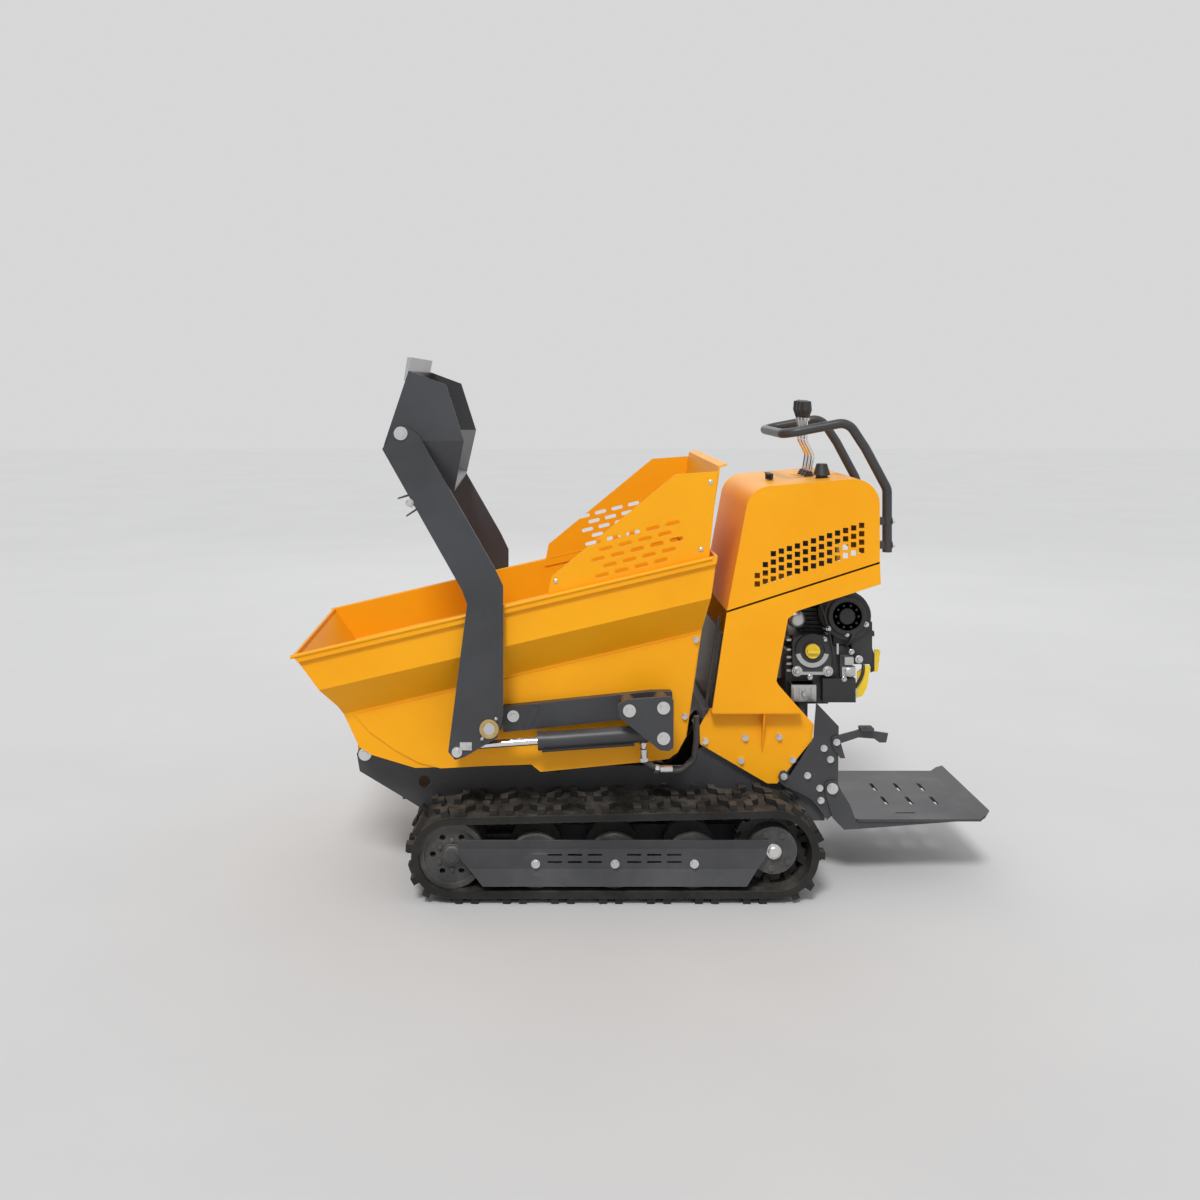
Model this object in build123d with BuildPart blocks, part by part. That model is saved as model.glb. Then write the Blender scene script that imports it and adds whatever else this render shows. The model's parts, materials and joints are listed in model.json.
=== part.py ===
from build123d import *
import os
from math import atan2, cos, degrees, hypot, pi, radians, sin, tan

# Tracked power wheelbarrow with a tipping skip, a self-loading shovel and a stand-on platform.
# Frame: +X to the operator's end, -X to the skip lip, +Z up, origin under the middle of the box.
# Left is the operator's left, which is -Y. Points written (x, z) lie in the side view.

os.makedirs("parts", exist_ok=True)

# ---------------------------------------------------------------- driving dimensions, mm
OVERALL_LENGTH = 1800.0
SHEET = 4.0
FIT = 0.05
GAP = 0.3

TRACK_WIDTH = 180.0
TRACK_INNER_Y = 170.0
TRACK_PITCH = 60.0
BELT_THICKNESS = 18.0
LUG_HEIGHT = 15.0
GUIDE_HEIGHT = 22.0
WHEELBASE = 808.0
IDLER_X = -499.0
IDLER_BELT_RADIUS = 100.5
SPROCKET_BELT_RADIUS = 109.5
SPROCKET_TEETH = 11
AXLE_D = 25.0
ROLLER_SPACING = 198.0
GUARD_RECESS = 10.0

CHASSIS_Y = 166.0
CHASSIS_PLATE = 8.0
PANEL_FLANGE_Y = 185.0
REAR_PLATE = 6.0
HOOD_WIDTH = 444.0
DECK_Z = 440.0
PERFORATION = 14.0

SKIP_HALF_WIDTH = 317.0
SKIP_WALL = 4.0
SKIP_RIM = 10.0
SKIP_RIM_HEIGHT = 20.0
SKIP_LOWER_HALF_WIDTH = 245.0
SKIP_SLOPE = 13.2
SKIP_PIVOT = (-738.0, 322.0)
SKIP_PIN_D = 25.0

ARM_THICKNESS = 10.0
ARM_CLEARANCE = 8.0
LIFT_PIVOT = (-405.0, 437.0)
LIFT_PIVOT_D = 32.0
BUSH_WALL = 8.0
LIFT_TIP = (-485.0, 380.0)
LIFT_BASE = (29.0, 416.0)
CYLINDER_PIN_D = 20.0
LIFT_BARREL_D = 43.0
LIFT_ROD_D = 20.0
LIFT_CYLINDER_Y = 300.0
BUCKET_BOLT = (-625.5, 1174.0)
BUCKET_WALL = 5.0

TIP_BASE = (50.0, 235.0)
TIP_PIN = (-520.0, 250.0)
TIP_BARREL_D = 55.0
TIP_ROD_D = 28.0

PLATFORM_PIVOT = (485.0, 242.0)
PLATFORM_HALF_WIDTH = 205.0
PLATFORM_TOP_Z = 163.0
PLATFORM_PIN_D = 16.0
LATCH_PIVOT = (496.0, 363.0)

HANDLE_TUBE_D = 25.0
HANDLE_HALF_WIDTH = 160.0
LEVER_X = 457.0
LEVER_SPACING = 42.0
LEVER_PIVOT_Z = 1026.0
LEVER_ROD_D = 12.0
LEVER_SHAFT_D = 8.0

# ---------------------------------------------------------------- places worked out from them
FRONT_X = -OVERALL_LENGTH / 2
REAR_X = OVERALL_LENGTH / 2
TRACK_MID_Y = TRACK_INNER_Y + TRACK_WIDTH / 2
TRACK_OUTER_Y = TRACK_INNER_Y + TRACK_WIDTH
IDLER = (IDLER_X, IDLER_BELT_RADIUS + LUG_HEIGHT)
SPROCKET = (IDLER_X + WHEELBASE, SPROCKET_BELT_RADIUS + LUG_HEIGHT)
BELT_FLOOR_Z = LUG_HEIGHT + BELT_THICKNESS
ROLLER_RADIUS = 67.0
ROLLER_Z = BELT_FLOOR_Z + ROLLER_RADIUS + GAP
TRACK_CENTRE_X = IDLER_X + WHEELBASE / 2
ROLLER_XS = [TRACK_CENTRE_X + 4 + step * ROLLER_SPACING for step in (-1, 0, 1)]
RIM_POINT = (168.0, 866.0)
RIM_Y = SKIP_HALF_WIDTH + SKIP_RIM
ARM_INNER_Y = RIM_Y + ARM_CLEARANCE
ARM_OUTER_Y = ARM_INNER_Y + ARM_THICKNESS
SKIRT_OUTER_Y = SKIP_LOWER_HALF_WIDTH + SHEET
ROCKER_INNER_Y = ARM_OUTER_Y + 2
HOOD_Y = HOOD_WIDTH / 2
REAR_PLATE_OUTER_Y = PANEL_FLANGE_Y + REAR_PLATE
PLATFORM_SIDE_Y = REAR_PLATE_OUTER_Y + 2


# ---------------------------------------------------------------- helpers
def save(part, name):
    """Label a finished piece and write its STEP file."""
    part.label = name
    export_step(part, f"parts/{name}.step")


def plate(points, y, thickness, corner=0.0, mode=Mode.ADD):
    """A flat plate with a side-view outline, from y to y + thickness."""
    with BuildSketch(Plane.XZ.offset(-y)) as profile:
        Polygon(*points, align=None)
        if corner:
            fillet(profile.vertices(), corner)
    extrude(profile.sketch, amount=-thickness, mode=mode)


def rod(centre, y, length, diameter, mode=Mode.ADD):
    """A round bar along Y with its centre at a side-view point."""
    with BuildSketch(Plane.XZ.offset(-y)) as section:
        with Locations(centre):
            Circle(diameter / 2)
    extrude(section.sketch, amount=-length, mode=mode)


def block(x0, x1, y0, y1, z0, z1, mode=Mode.ADD):
    """A rectangular block between two corners."""
    with Locations(((x0 + x1) / 2, (y0 + y1) / 2, (z0 + z1) / 2)):
        Box(abs(x1 - x0), abs(y1 - y0), abs(z1 - z0), mode=mode)


def post(x, y, z, height, diameter, mode=Mode.ADD):
    """A round bar along Z standing at a point."""
    with Locations((x, y, z + height / 2)):
        Cylinder(diameter / 2, height, mode=mode)


def bolt(centre, face_y, outward, head_d=18.0, washer_d=26.0):
    """A washer and a hexagon head on a face, standing out along Y."""
    washer, head = 3.0, 7.0
    sign = 1 if outward > 0 else -1
    rod(centre, min(face_y, face_y + sign * washer), washer, washer_d)
    with BuildSketch(Plane.XZ.offset(-(face_y + sign * washer))) as hexagon:
        with Locations(centre):
            RegularPolygon(head_d / 2, 6)
    extrude(hexagon.sketch, amount=-sign * head)


def both_sides():
    """Repeat what is in the current piece on the other side of the machine."""
    mirror(about=Plane.XZ)


def toward(start, end):
    """Length and upward angle in degrees of the side-view line from start to end."""
    dx, dz = end[0] - start[0], end[1] - start[1]
    return hypot(dx, dz), degrees(atan2(dz, dx))


def along(start, end, distance):
    """The side-view point a distance from start towards end."""
    length, angle = toward(start, end)
    turn = radians(angle)
    return (start[0] + distance * cos(turn), start[1] + distance * sin(turn))


def line_plane(start, end, y):
    """A plane at a side-view start point whose normal points at the end point."""
    length, angle = toward(start, end)
    turn = radians(angle)
    return Plane((start[0], y, start[1]), x_dir=(0, 1, 0), z_dir=(cos(turn), 0, sin(turn)))


def bar(plane, start, length, diameter, mode=Mode.ADD):
    """A round bar along a plane's normal, beginning a distance above it."""
    with BuildSketch(plane.offset(start)) as section:
        Circle(diameter / 2)
    extrude(section.sketch, amount=length, mode=mode)


# ---------------------------------------------------------------- tracks
def belt_loop(shrink, width, mode):
    """The closed loop round idler and sprocket, moved inward by a distance."""
    with BuildSketch(Plane.XZ.offset(width / 2 - TRACK_MID_Y)) as circles:
        with Locations(IDLER):
            Circle(IDLER_BELT_RADIUS - shrink)
        with Locations(SPROCKET):
            Circle(SPROCKET_BELT_RADIUS - shrink)
        make_hull()
    extrude(circles.sketch, amount=-width, mode=mode)


def belt_stations(shrink):
    """Points at one track pitch round the loop: place and outward angle in radians."""
    radii = (IDLER_BELT_RADIUS - shrink, SPROCKET_BELT_RADIUS - shrink)
    span, rise = toward(IDLER, SPROCKET)
    lean = radians(rise)
    spread = atan2(SPROCKET_BELT_RADIUS - IDLER_BELT_RADIUS, span)
    straight = (span**2 - (radii[1] - radii[0]) ** 2) ** 0.5
    top_out, bottom_out = lean + pi / 2 + spread, lean - pi / 2 - spread
    rear_turn, front_turn = top_out - bottom_out, 2 * pi - (top_out - bottom_out)
    lengths = (straight, radii[1] * rear_turn, straight, radii[0] * front_turn)
    count = round(sum(lengths) / TRACK_PITCH)
    for index in range(count):
        travel = (index + 0.5) * sum(lengths) / count
        if travel < lengths[0]:
            out = top_out
            reach = (radii[0], travel)
        elif travel < sum(lengths[:2]):
            out = top_out - (travel - lengths[0]) / radii[1]
            reach = None
            centre, radius = SPROCKET, radii[1]
        elif travel < sum(lengths[:3]):
            out = bottom_out
            reach = (radii[1], travel - sum(lengths[:2]))
        else:
            out = bottom_out - (travel - sum(lengths[:3])) / radii[0]
            reach = None
            centre, radius = IDLER, radii[0]
        if reach:
            centre = IDLER if out == top_out else SPROCKET
            radius = reach[0]
            x = centre[0] + radius * cos(out) + reach[1] * cos(out - pi / 2)
            z = centre[1] + radius * sin(out) + reach[1] * sin(out - pi / 2)
        else:
            x = centre[0] + radius * cos(out)
            z = centre[1] + radius * sin(out)
        yield x, z, out


LUG_ROOT = 4.5
LUG_ACROSS = 78.0
LUG_ALONG = 19.0
LUG_STEP = 20.0
GUIDE_OFFSET = 32.0
GUIDE_ACROSS = 14.0


def lug_outline(side):
    """A Z-shaped tread block seen from outside, its two halves stepped along the track."""
    half, step = LUG_ALONG / 2, LUG_STEP / 2
    across = LUG_ACROSS / 2
    points = [(-half - step, -across), (half - step, -across), (half - step, -8)]
    points += [(half + step, 8), (half + step, across), (-half + step, across)]
    points += [(-half + step, 8), (-half - step, -8)]
    return [(x, side * y) for x, y in points]


with BuildPart() as track_right:
    belt_loop(0, TRACK_WIDTH, Mode.ADD)
    belt_loop(BELT_THICKNESS, TRACK_WIDTH, Mode.SUBTRACT)
    lugs = []
    for index, (x, z, out) in enumerate(belt_stations(0)):
        side = 1 if index % 2 else -1
        normal = (cos(out), 0, sin(out))
        for row in (-1, 1):
            centre_y = TRACK_MID_Y + row * (TRACK_WIDTH / 2 - LUG_ACROSS / 2 - 4)
            shift = 0.25 * row * TRACK_PITCH
            back = Vector(cos(out - pi / 2), 0, sin(out - pi / 2)) * shift * 0.5
            base = Plane(Vector(x, centre_y, z) + back, x_dir=(0, 1, 0), z_dir=normal)
            with BuildSketch(base.offset(-LUG_ROOT)) as lug:
                Polygon(*[(y, -a) for a, y in lug_outline(side)], align=None)
            lugs.append(extrude(lug.sketch, amount=LUG_ROOT + LUG_HEIGHT, mode=Mode.PRIVATE))
    for x, z, out in belt_stations(BELT_THICKNESS):
        inward = Plane((x, TRACK_MID_Y, z), x_dir=(0, 1, 0), z_dir=(-cos(out), 0, -sin(out)))
        with BuildSketch(inward.offset(-LUG_ROOT)) as guides:
            with Locations((-GUIDE_OFFSET, 0), (GUIDE_OFFSET, 0)):
                Rectangle(GUIDE_ACROSS, LUG_ALONG)
        lugs.append(extrude(guides.sketch, amount=LUG_ROOT + GUIDE_HEIGHT, taper=8, mode=Mode.PRIVATE))
    add(lugs)
    floor_cut = 60.0
    block(IDLER_X - 400, IDLER_X + WHEELBASE + 400, TRACK_INNER_Y - 20, TRACK_OUTER_Y + 20,
          -floor_cut, 0, mode=Mode.SUBTRACT)
save(track_right.part, "track_right")

with BuildPart() as track_left:
    mirror(track_right.part, about=Plane.XZ)
save(track_left.part, "track_left")


# ---------------------------------------------------------------- wheels inside the tracks
GUIDE_CLEARANCE = 3.0
FLANGE_INNER = GUIDE_OFFSET + GUIDE_ACROSS / 2 + GUIDE_CLEARANCE
FLANGE_OUTER = TRACK_WIDTH / 2 - 20.0
WHEEL_HUB_MARGIN = 6.0


def track_wheel(centre, radius, belt_inner, bore):
    """A wheel of two rims joined by a hub that stays clear of the guide teeth."""
    hub_radius = belt_inner - GUIDE_HEIGHT - WHEEL_HUB_MARGIN
    for side in (-1, 1):
        near = TRACK_MID_Y + side * FLANGE_INNER
        far = TRACK_MID_Y + side * FLANGE_OUTER
        rod(centre, min(near, far), abs(far - near), 2 * radius)
        rod(centre, far - (8 if side > 0 else 0), 8, 2 * radius - 24, mode=Mode.SUBTRACT)
        rod(centre, min(near, far), abs(far - near), 2.2 * AXLE_D)
    rod(centre, TRACK_MID_Y - FLANGE_INNER, 2 * FLANGE_INNER, 2 * hub_radius)
    rod(centre, TRACK_MID_Y - FLANGE_OUTER, 2 * FLANGE_OUTER, bore, mode=Mode.SUBTRACT)


ROLLER_NAMES = ["roller_front", "roller_middle", "roller_rear"]
for roller_name, roller_x in zip(ROLLER_NAMES, ROLLER_XS):
    with BuildPart() as roller_right:
        track_wheel((roller_x, ROLLER_Z), ROLLER_RADIUS, ROLLER_RADIUS, AXLE_D + 2 * FIT)
    with BuildPart() as roller_left:
        mirror(roller_right.part, about=Plane.XZ)
    save(roller_right.part, f"{roller_name}_right")
    save(roller_left.part, f"{roller_name}_left")

IDLER_RADIUS = IDLER_BELT_RADIUS - BELT_THICKNESS - GAP
with BuildPart() as idler_right:
    track_wheel(IDLER, IDLER_RADIUS, IDLER_RADIUS, AXLE_D + 2 * FIT)
    for angle in range(0, 360, 60):
        spoke = (IDLER[0] + 48 * cos(radians(angle)), IDLER[1] + 48 * sin(radians(angle)))
        rod(spoke, TRACK_MID_Y + FLANGE_INNER - 5, 60, 16, mode=Mode.SUBTRACT)
save(idler_right.part, "idler_right")
with BuildPart() as idler_left:
    mirror(idler_right.part, about=Plane.XZ)
save(idler_left.part, "idler_left")

SPROCKET_RADIUS = SPROCKET_BELT_RADIUS - BELT_THICKNESS - GAP
MOTOR_D = 84.0
SPROCKET_DISC = 30.0
SPROCKET_HUB_D = 118.0
with BuildPart() as sprocket_right:
    rod(SPROCKET, TRACK_MID_Y - SPROCKET_DISC / 2, SPROCKET_DISC, 2 * SPROCKET_RADIUS)
    for tooth in range(SPROCKET_TEETH):
        turn = 2 * pi * tooth / SPROCKET_TEETH
        notch = (SPROCKET[0] + SPROCKET_RADIUS * cos(turn), SPROCKET[1] + SPROCKET_RADIUS * sin(turn))
        rod(notch, TRACK_MID_Y - SPROCKET_DISC, 2 * SPROCKET_DISC, 26, mode=Mode.SUBTRACT)
    rod(SPROCKET, TRACK_MID_Y - SPROCKET_DISC / 2, FLANGE_OUTER - 10 + SPROCKET_DISC / 2, SPROCKET_HUB_D)
    rod(SPROCKET, TRACK_MID_Y - SPROCKET_DISC / 2 - 1, 40, MOTOR_D + 2, mode=Mode.SUBTRACT)
    hub_face = TRACK_MID_Y + FLANGE_OUTER - 10
    rod(SPROCKET, hub_face, 8, 40)
    for angle in (62, 118, 322, 200, 262):
        stud = (SPROCKET[0] + 44 * cos(radians(angle)), SPROCKET[1] + 44 * sin(radians(angle)))
        rod(stud, hub_face, 6, 13)
    rod(SPROCKET, TRACK_MID_Y, FLANGE_OUTER + 10, AXLE_D + 2 * FIT, mode=Mode.SUBTRACT)
save(sprocket_right.part, "sprocket_right")
with BuildPart() as sprocket_left:
    mirror(sprocket_right.part, about=Plane.XZ)
save(sprocket_left.part, "sprocket_left")

with BuildPart() as drive_motors:
    rod(SPROCKET, CHASSIS_Y, TRACK_MID_Y + 20 - CHASSIS_Y, MOTOR_D)
    rod(SPROCKET, TRACK_MID_Y + 20, FLANGE_OUTER - 24, AXLE_D)
    both_sides()
save(drive_motors.part, "drive_motors")

# ---------------------------------------------------------------- track frames and side guards
FRAME_PLATE = 8.0
GUARD_THICKNESS = 4.0
GUARD_MID_Y = TRACK_OUTER_Y - GUARD_RECESS
GUARD_Z = (48.0, 87.0, 137.0, 162.0)
FRAME_TOP_Z = 140.0
AXLE_END_Y = GUARD_MID_Y
with BuildPart() as track_frames:
    frame_outline = [(IDLER[0] - 40, 90), (IDLER[0] - 40, FRAME_TOP_Z), (SPROCKET[0] - 80, FRAME_TOP_Z)]
    frame_outline += [(SPROCKET[0] - 60, 100), (SPROCKET[0] - 90, 70), (IDLER[0] + 20, 70)]
    plate(frame_outline, TRACK_INNER_Y, FRAME_PLATE, corner=6)
    for centre in [(x, ROLLER_Z) for x in ROLLER_XS]:
        rod(centre, TRACK_INNER_Y, AXLE_END_Y - TRACK_INNER_Y, AXLE_D)
    rod(IDLER, TRACK_INNER_Y, TRACK_MID_Y + FLANGE_OUTER + 12 - TRACK_INNER_Y, AXLE_D)
    for station_x in (ROLLER_XS[0], ROLLER_XS[2]):
        block(station_x - 40, station_x + 40, CHASSIS_Y, TRACK_INNER_Y, 90, FRAME_TOP_Z - 4)
    both_sides()
save(track_frames.part, "track_frames")

guard_front, guard_rear = IDLER_X + 15.5, SPROCKET[0] - 13.3
with BuildPart() as track_guards:
    low, fold_low, fold_high, high = GUARD_Z
    section = [(TRACK_OUTER_Y + 2, low), (GUARD_MID_Y, fold_low), (GUARD_MID_Y, fold_high)]
    section += [(TRACK_OUTER_Y, high), (TRACK_OUTER_Y + GUARD_THICKNESS, high)]
    section += [(GUARD_MID_Y + GUARD_THICKNESS, fold_high), (GUARD_MID_Y + GUARD_THICKNESS, fold_low)]
    section += [(TRACK_OUTER_Y + 2 + GUARD_THICKNESS, low)]
    with BuildSketch(Plane.YZ.offset(guard_front - 10)):
        Polygon(*section, align=None)
    extrude(amount=guard_rear - guard_front + 40)
    outline = [(guard_front, high), (guard_rear, high), (guard_rear - 10.7, 115)]
    outline += [(guard_rear - 59.7, low), (guard_front + 63, low), (guard_front + 7, 112)]
    plate(outline, TRACK_OUTER_Y - 50, 100, mode=Mode.INTERSECT)
    for slot_z in (104, 122):
        for slot_x in [x + step * 50 for x in (ROLLER_XS[0] + 98, ROLLER_XS[1] + 98) for step in (-1, 0, 1)]:
            with BuildSketch(Plane.XZ.offset(-GUARD_MID_Y + 5)) as slot:
                with Locations((slot_x, slot_z)):
                    SlotOverall(37, 6)
            extrude(slot.sketch, amount=-20, mode=Mode.SUBTRACT)
    both_sides()
save(track_guards.part, "track_guards")

# ---------------------------------------------------------------- chassis
TIE_DOWN = (-581.0, 249.0)
TIE_DOWN_D = 32.0
CHASSIS_TAIL_X = 492.0
CHASSIS_FLOOR_Z = 160.0
CROSS_PLATE = 6.0
with BuildPart() as chassis_frame:
    inner = CHASSIS_Y - CHASSIS_PLATE
    pivot_x, pivot_z = SKIP_PIVOT
    outline = [(pivot_x - 14, pivot_z - 46), (pivot_x - 22, pivot_z), (pivot_x - 12, pivot_z + 18)]
    outline += [(pivot_x + 12, pivot_z + 16), (pivot_x + 60, pivot_z - 4), (-600, 290), (100, 290)]
    outline += [(150, 340), (486, 340), (CHASSIS_TAIL_X, 250), (472, 146), (430, 146)]
    outline += [(SPROCKET[0] + 60, 160), (-560, 160), (-625, 200)]
    plate(outline, inner, CHASSIS_PLATE)
    rod(TIE_DOWN, inner - 1, CHASSIS_PLATE + 2, TIE_DOWN_D, mode=Mode.SUBTRACT)
    rod(SKIP_PIVOT, inner - 1, CHASSIS_PLATE + 2, SKIP_PIN_D, mode=Mode.SUBTRACT)
    rod(TIP_BASE, inner - 1, CHASSIS_PLATE + 2, CYLINDER_PIN_D, mode=Mode.SUBTRACT)
    both_sides()
    block(-600, CHASSIS_TAIL_X - 30, -inner, inner, CHASSIS_FLOOR_Z, CHASSIS_FLOOR_Z + CROSS_PLATE)
    block(-640, -560, -inner, inner, 200, 200 + CROSS_PLATE)
    block(CHASSIS_TAIL_X - 34, CHASSIS_TAIL_X - 28, -inner, inner, CHASSIS_FLOOR_Z, 334)
save(chassis_frame.part, "chassis_frame")

PANEL_SHEET = 3.0
CHEEK_Y = PANEL_FLANGE_Y - PANEL_SHEET
with BuildPart() as engine_deck:
    cheek = [(150, DECK_Z), (150, 353), (318, 258), (372, 275), (430, 366), (434, 404), (402, DECK_Z)]
    plate(cheek, CHEEK_Y - CROSS_PLATE, CROSS_PLATE)
    block(260, 400, CHASSIS_Y, CHEEK_Y - CROSS_PLATE + 1, 300, 330)
    both_sides()
    block(150, 402, -CHEEK_Y, CHEEK_Y, DECK_Z - CROSS_PLATE, DECK_Z)
    block(400, 500, -88, 110, DECK_Z - CROSS_PLATE, DECK_Z)
    block(412, 418, -CHEEK_Y + 10, CHEEK_Y - 10, 341, DECK_Z - 3)
    bulkhead = [(154, 341), (160, 341), (206, 640), (200, 640)]
    plate(bulkhead, -CHEEK_Y + 8, 2 * CHEEK_Y - 16)
save(engine_deck.part, "engine_deck")

with BuildPart() as skip_pins:
    for side in (-1, 1):
        rod(SKIP_PIVOT, side * (CHASSIS_Y - 20) - 22, 44, SKIP_PIN_D)
        bolt(SKIP_PIVOT, side * (CHASSIS_Y + 2), side, head_d=20, washer_d=34)
    rod(TIP_BASE, -CHASSIS_Y - 4, 2 * CHASSIS_Y + 8, CYLINDER_PIN_D)
save(skip_pins.part, "pivot_pins")

# ---------------------------------------------------------------- skip
FOLD_UPPER = -102.0
FOLD_LOWER = -190.0
SKIP_REAR = [RIM_POINT, (99.0, 389.0), (58.0, 334.0), (-16.0, 325.0)]
SKIP_FRONT = [(-599.0, 309.0), (-709.0, 342.0), (-742.0, 362.0), (-794.0, 472.0)]
lip_z = RIM_POINT[1] - (RIM_POINT[0] - FRONT_X) * tan(radians(SKIP_SLOPE))
SKIP_OUTLINE = SKIP_REAR + SKIP_FRONT + [(FRONT_X, lip_z)]


def hopper(inset, height, mode):
    """The skip's outside moved inward by a wall, and upward past its open top."""
    turn = radians(SKIP_SLOPE)
    origin = Vector(RIM_POINT[0], 0, RIM_POINT[1]) - Vector(cos(turn), 0, sin(turn)) * 1300
    across = Plane(origin, x_dir=(0, 1, 0), z_dir=(cos(turn), 0, sin(turn)))
    top, low = SKIP_HALF_WIDTH - inset, SKIP_LOWER_HALF_WIDTH - inset
    half = [(top, height), (top, FOLD_UPPER), (low, FOLD_LOWER), (low, -700)]
    with BuildSketch(across) as section:
        Polygon(*half, *[(-y, z) for y, z in reversed(half)], align=None)
    with BuildPart(mode=Mode.PRIVATE) as body:
        extrude(section.sketch, amount=1700)
        with BuildSketch(Plane.XZ.offset(500)) as outline:
            Polygon(*SKIP_OUTLINE, align=None)
            if inset:
                offset(amount=-inset, kind=Kind.INTERSECTION)
            if height:
                lift = [(x, z + height) for x, z in (RIM_POINT, (FRONT_X, lip_z))]
                lift[1] = (lift[1][0] + inset, lift[1][1])
                lift[0] = (lift[0][0] - inset, lift[0][1])
                Polygon(*lift, (FRONT_X + inset + 5, lip_z - 10), (RIM_POINT[0] - inset - 2, RIM_POINT[1] - 8),
                        align=None)
        extrude(outline.sketch, amount=-1000, mode=Mode.INTERSECT)
    add(body.part, mode=mode)


with BuildPart() as skip_tub:
    hopper(0, 0, Mode.ADD)
    rim_low = SKIP_RIM_HEIGHT
    rim_outline = [RIM_POINT, (RIM_POINT[0] - 3, RIM_POINT[1] - rim_low)]
    rim_outline += [(FRONT_X + 14, lip_z - rim_low + 3), (FRONT_X, lip_z)]
    plate(rim_outline, SKIP_HALF_WIDTH, SKIP_RIM)
    plate(rim_outline, -SKIP_HALF_WIDTH - SKIP_RIM, SKIP_RIM)
    hopper(SKIP_WALL, 60, Mode.SUBTRACT)
    lug = [(SKIP_PIVOT[0] - 20, 350), (SKIP_PIVOT[0] - 20, 314), (SKIP_PIVOT[0] - 6, 302)]
    lug += [(SKIP_PIVOT[0] + 10, 302), (SKIP_PIVOT[0] + 60, 322), (SKIP_PIVOT[0] + 60, 332)]
    lug += [(SKIP_PIVOT[0] + 29, 344), (SKIP_PIVOT[0] - 3, 364)]
    lug_y = CHASSIS_Y - CHASSIS_PLATE - 2 - 8
    tip_lug = [(TIP_PIN[0] - 20, 240), (TIP_PIN[0] - 8, 232), (TIP_PIN[0] + 10, 232)]
    tip_lug += [(TIP_PIN[0] + 22, 244), (TIP_PIN[0] + 45, 312), (TIP_PIN[0] - 45, 311)]
    for side in (-1, 1):
        plate(lug, side * (lug_y + 4) - 4, 8)
        rod(SKIP_PIVOT, side * (lug_y + 4) - 5, 10, SKIP_PIN_D + 2 * FIT, mode=Mode.SUBTRACT)
        plate(tip_lug, side * 30 - 4, 8)
save(skip_tub.part, "skip_tub")

with BuildPart() as skip_skirts:
    skirt = [(-754, 447), (-717, 404), (-652, 357), (-588, 323), (-533, 309), (-303, 321), (-276, 300)]
    skirt += [(-16, 325), (52, 333), (76, 350), (97, 389), (124, 586), (137, 657)]
    plate(skirt, SKIP_LOWER_HALF_WIDTH, SHEET)
    both_sides()
save(skip_skirts.part, "skip_skirts")

GUARD_PLATE_Y = SKIP_HALF_WIDTH - SKIP_WALL - SHEET
GUARD_OUTLINE = [(-262, 745), (-249, 812), (63, 1069), (171, 1077), (148, 858), (140, 835)]
SLOT_ROWS = [4, 4, 5, 4, 5]
SLOT_STEP = 51.0
SLOT_ROW_STEP = 21.0
with BuildPart() as skip_guards:
    plate(GUARD_OUTLINE, GUARD_PLATE_Y, SHEET, corner=3)
    turn = radians(14)
    with BuildSketch(Plane.XZ.offset(-GUARD_PLATE_Y + 5)) as slots:
        for row, count in enumerate(SLOT_ROWS):
            for step in range(count):
                reach = -110 + step * SLOT_STEP + (SLOT_STEP / 2 if row % 2 else 0)
                up = row * SLOT_ROW_STEP
                x = -15 + reach * cos(turn) - up * sin(turn)
                z = 842 + reach * sin(turn) + up * cos(turn)
                with Locations(Location((x, z), 14)):
                    SlotOverall(35, 10.5)
    extrude(slots.sketch, amount=-20, mode=Mode.SUBTRACT)
    both_sides()
    wall = [(136, 840), (140, 840), (177, 1086), (195, 1092), (194, 1096), (173, 1090)]
    plate(wall, -GUARD_PLATE_Y, 2 * GUARD_PLATE_Y)
save(skip_guards.part, "skip_guards")

# ---------------------------------------------------------------- loader parts fixed to the skip
BEAM_THICKNESS = 24.0
ROCKER_BOLTS = [(-56.0, 485.0), (29.0, 492.0)]
SKIRT_BOLTS = [(123.0, 640.0), (94.0, 443.0)]
ROCKER_THICKNESS = 8.0
with BuildPart() as loader_beams:
    beam = [(-372, 473), (7, 512), (60, 512), (60, 455), (0, 447), (-372, 408)]
    plate(beam, SKIRT_OUTER_Y, BEAM_THICKNESS, corner=4)
    rocker = [(-84, 500), (-62, 512), (46, 520), (54, 510), (54, 392), (42, 384), (20, 386), (-80, 468)]
    plate(rocker, ROCKER_INNER_Y, ROCKER_THICKNESS, corner=4)
    plate([(-320, 415), (-306, 415), (-279, 474), (-293, 474)], SKIRT_OUTER_Y + BEAM_THICKNESS, 4)
    for centre in ROCKER_BOLTS:
        start = SKIRT_OUTER_Y + BEAM_THICKNESS
        rod(centre, start, ROCKER_INNER_Y - start, 42)
    rod(LIFT_PIVOT, SKIRT_OUTER_Y, ARM_OUTER_Y + 4 - SKIRT_OUTER_Y, LIFT_PIVOT_D)
    rod(LIFT_PIVOT, SKIRT_OUTER_Y, 30, LIFT_PIVOT_D + 34)
    both_sides()
save(loader_beams.part, "loader_beams")

with BuildPart() as loader_hardware:
    rod(LIFT_BASE, SKIRT_OUTER_Y, ROCKER_INNER_Y - SKIRT_OUTER_Y, CYLINDER_PIN_D)
    for centre in ROCKER_BOLTS + [LIFT_BASE]:
        bolt(centre, ROCKER_INNER_Y + ROCKER_THICKNESS, 1, head_d=18, washer_d=32)
    bolt((-346, 450), SKIRT_OUTER_Y + BEAM_THICKNESS, 1, head_d=16, washer_d=30)
    for centre in SKIRT_BOLTS:
        bolt(centre, SKIRT_OUTER_Y, 1, head_d=12, washer_d=16)
    both_sides()
save(loader_hardware.part, "loader_hardware")

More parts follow.
